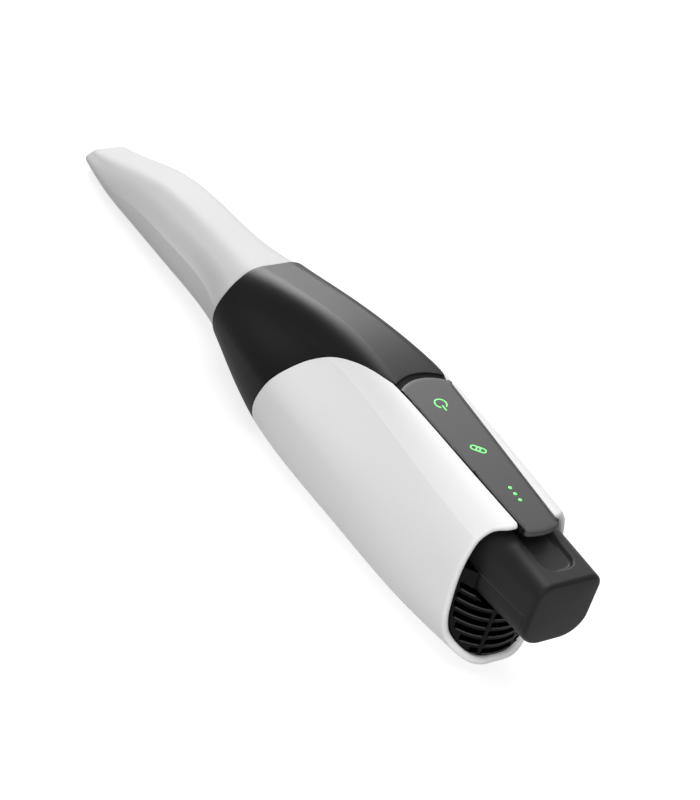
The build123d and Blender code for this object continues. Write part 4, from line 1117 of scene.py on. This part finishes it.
class SCANNER_OT_stage(bpy.types.Operator):
    """Set the floor, the lamps, the surroundings and the camera"""

    bl_idname = "scanner.stage"
    bl_label = "Stage"

    def execute(self, context):
        scene = context.scene
        mesh = bpy.data.meshes.new("floor")
        corners = [(-1, -1), (1, -1), (1, 1), (-1, 1)]
        mesh.from_pydata([(x * FLOOR_REACH, y * FLOOR_REACH, REST) for x, y in corners], [], [(0, 1, 2, 3)])
        mesh.materials.append(floor_paint())
        floor = bpy.data.objects.new("floor", mesh)
        scene.collection.objects.link(floor)
        for name, place, target, size, power, shine in LAMPS:
            lamp = bpy.data.lights.new(name, "AREA")
            lamp.shape = "DISK"
            lamp.size = size
            lamp.energy = power
            holder = bpy.data.objects.new(name, lamp)
            holder.location = place
            holder.visible_diffuse = not shine
            holder.rotation_euler = (Vector(target) - Vector(place)).to_track_quat("-Z", "Y").to_euler()
            scene.collection.objects.link(holder)
        surroundings(scene)
        camera = bpy.data.objects.new("camera", bpy.data.cameras.new("camera"))
        right, up, back = (Vector(axis) for axis in CAMERA_AXES)
        turn = Matrix((right, up, back)).transposed().to_4x4()
        camera.matrix_world = Matrix.Translation(Vector(CAMERA_PLACE) * MM) @ turn
        camera.data.sensor_fit = "VERTICAL"
        camera.data.sensor_height = SENSOR_HEIGHT
        camera.data.lens = CAMERA_FOCUS * SENSOR_HEIGHT / IMAGE_HEIGHT
        camera.data.clip_start = 0.01
        scene.collection.objects.link(camera)
        scene.camera = camera
        scene.view_settings.view_transform = "Standard"
        return {"FINISHED"}


def seen(tree):
    """Socket that is 1 where a ray comes from the camera or off something shiny or clear."""
    path = add_node(tree, "ShaderNodeLightPath").outputs
    total = path["Is Camera Ray"]
    for kind in ("Is Glossy Ray", "Is Transmission Ray"):
        joined = add_node(tree, "ShaderNodeMath", {0: total, 1: path[kind]}, operation="ADD", use_clamp=True)
        total = joined.outputs[0]
    return total


def floor_paint():
    """White studio paper: pure white to the eye, still soft grey where the scanner shades it."""
    material = bpy.data.materials.new("white studio paper")
    material.use_nodes = True
    tree = material.node_tree
    tree.nodes.clear()
    place = add_node(tree, "ShaderNodeTexCoord")
    fibre = add_node(tree, "ShaderNodeTexNoise", {"Vector": place.outputs["Object"], "Scale": 1 / (3 * MM)})
    tone = ranged(tree, fibre.outputs["Fac"], (0.0, 1.0), (0.44, 0.46))
    matt = add_node(tree, "ShaderNodeBsdfDiffuse", {"Color": tone}).outputs[0]
    glow = add_node(tree, "ShaderNodeEmission", {"Color": (1, 1, 1, 1), "Strength": FLOOR_GLOW}).outputs[0]
    lifted = add_node(tree, "ShaderNodeAddShader", {0: matt, 1: glow}).outputs[0]
    choice = add_node(tree, "ShaderNodeMixShader", {0: seen(tree), 1: matt, 2: lifted})
    add_node(tree, "ShaderNodeOutputMaterial", {"Surface": choice.outputs[0]})
    return material


def surroundings(scene):
    """Plain even daylight from all sides, white where it is seen."""
    world = bpy.data.worlds.new("studio")
    scene.world = world
    world.use_nodes = True
    tree = world.node_tree
    tree.nodes.clear()
    light, white = (add_node(tree, "ShaderNodeBackground", {"Color": (1, 1, 1, 1), "Strength": strength})
                    for strength in (WORLD_LIGHT, 1.0))
    choice = add_node(tree, "ShaderNodeMixShader", {0: seen(tree), 1: light.outputs[0], 2: white.outputs[0]})
    add_node(tree, "ShaderNodeOutputWorld", {"Surface": choice.outputs[0]})


class SCANNER_PT_sidebar(bpy.types.Panel):
    """Sidebar with the scanner's pieces and settings"""

    bl_idname = "SCANNER_PT_sidebar"
    bl_label = "Intraoral scanner"
    bl_space_type = "VIEW_3D"
    bl_region_type = "UI"
    bl_category = "Scanner"

    def draw(self, context):
        for entry in OPERATORS:
            self.layout.operator(entry.bl_idname)
        for group in (context.scene.scanner_sizes, context.scene.scanner_colours):
            for name in type(group).__annotations__:
                self.layout.prop(group, name)


OPERATORS = (SCANNER_OT_insides, SCANNER_OT_grip, SCANNER_OT_neck, SCANNER_OT_sleeve, SCANNER_OT_panel,
             SCANNER_OT_charge, SCANNER_OT_grille, SCANNER_OT_battery, SCANNER_OT_stage)
CLASSES = (ScannerSizes, ScannerColours) + OPERATORS + (SCANNER_PT_sidebar,)


def register():
    """Register the add-on's classes and settings."""
    for entry in CLASSES:
        bpy.utils.register_class(entry)
    bpy.types.Scene.scanner_sizes = PointerProperty(type=ScannerSizes)
    bpy.types.Scene.scanner_colours = PointerProperty(type=ScannerColours)


def unregister():
    """Remove what register added."""
    del bpy.types.Scene.scanner_colours
    del bpy.types.Scene.scanner_sizes
    for entry in reversed(CLASSES):
        bpy.utils.unregister_class(entry)


def main():
    """Build the scanner."""
    register()
    bpy.ops.scanner.insides()
    bpy.ops.scanner.grip()
    bpy.ops.scanner.neck()
    bpy.ops.scanner.sleeve()
    bpy.ops.scanner.panel()
    bpy.ops.scanner.charge()
    bpy.ops.scanner.grille()
    bpy.ops.scanner.battery()
    bpy.ops.scanner.stage()


if __name__ == "__main__":
    main()
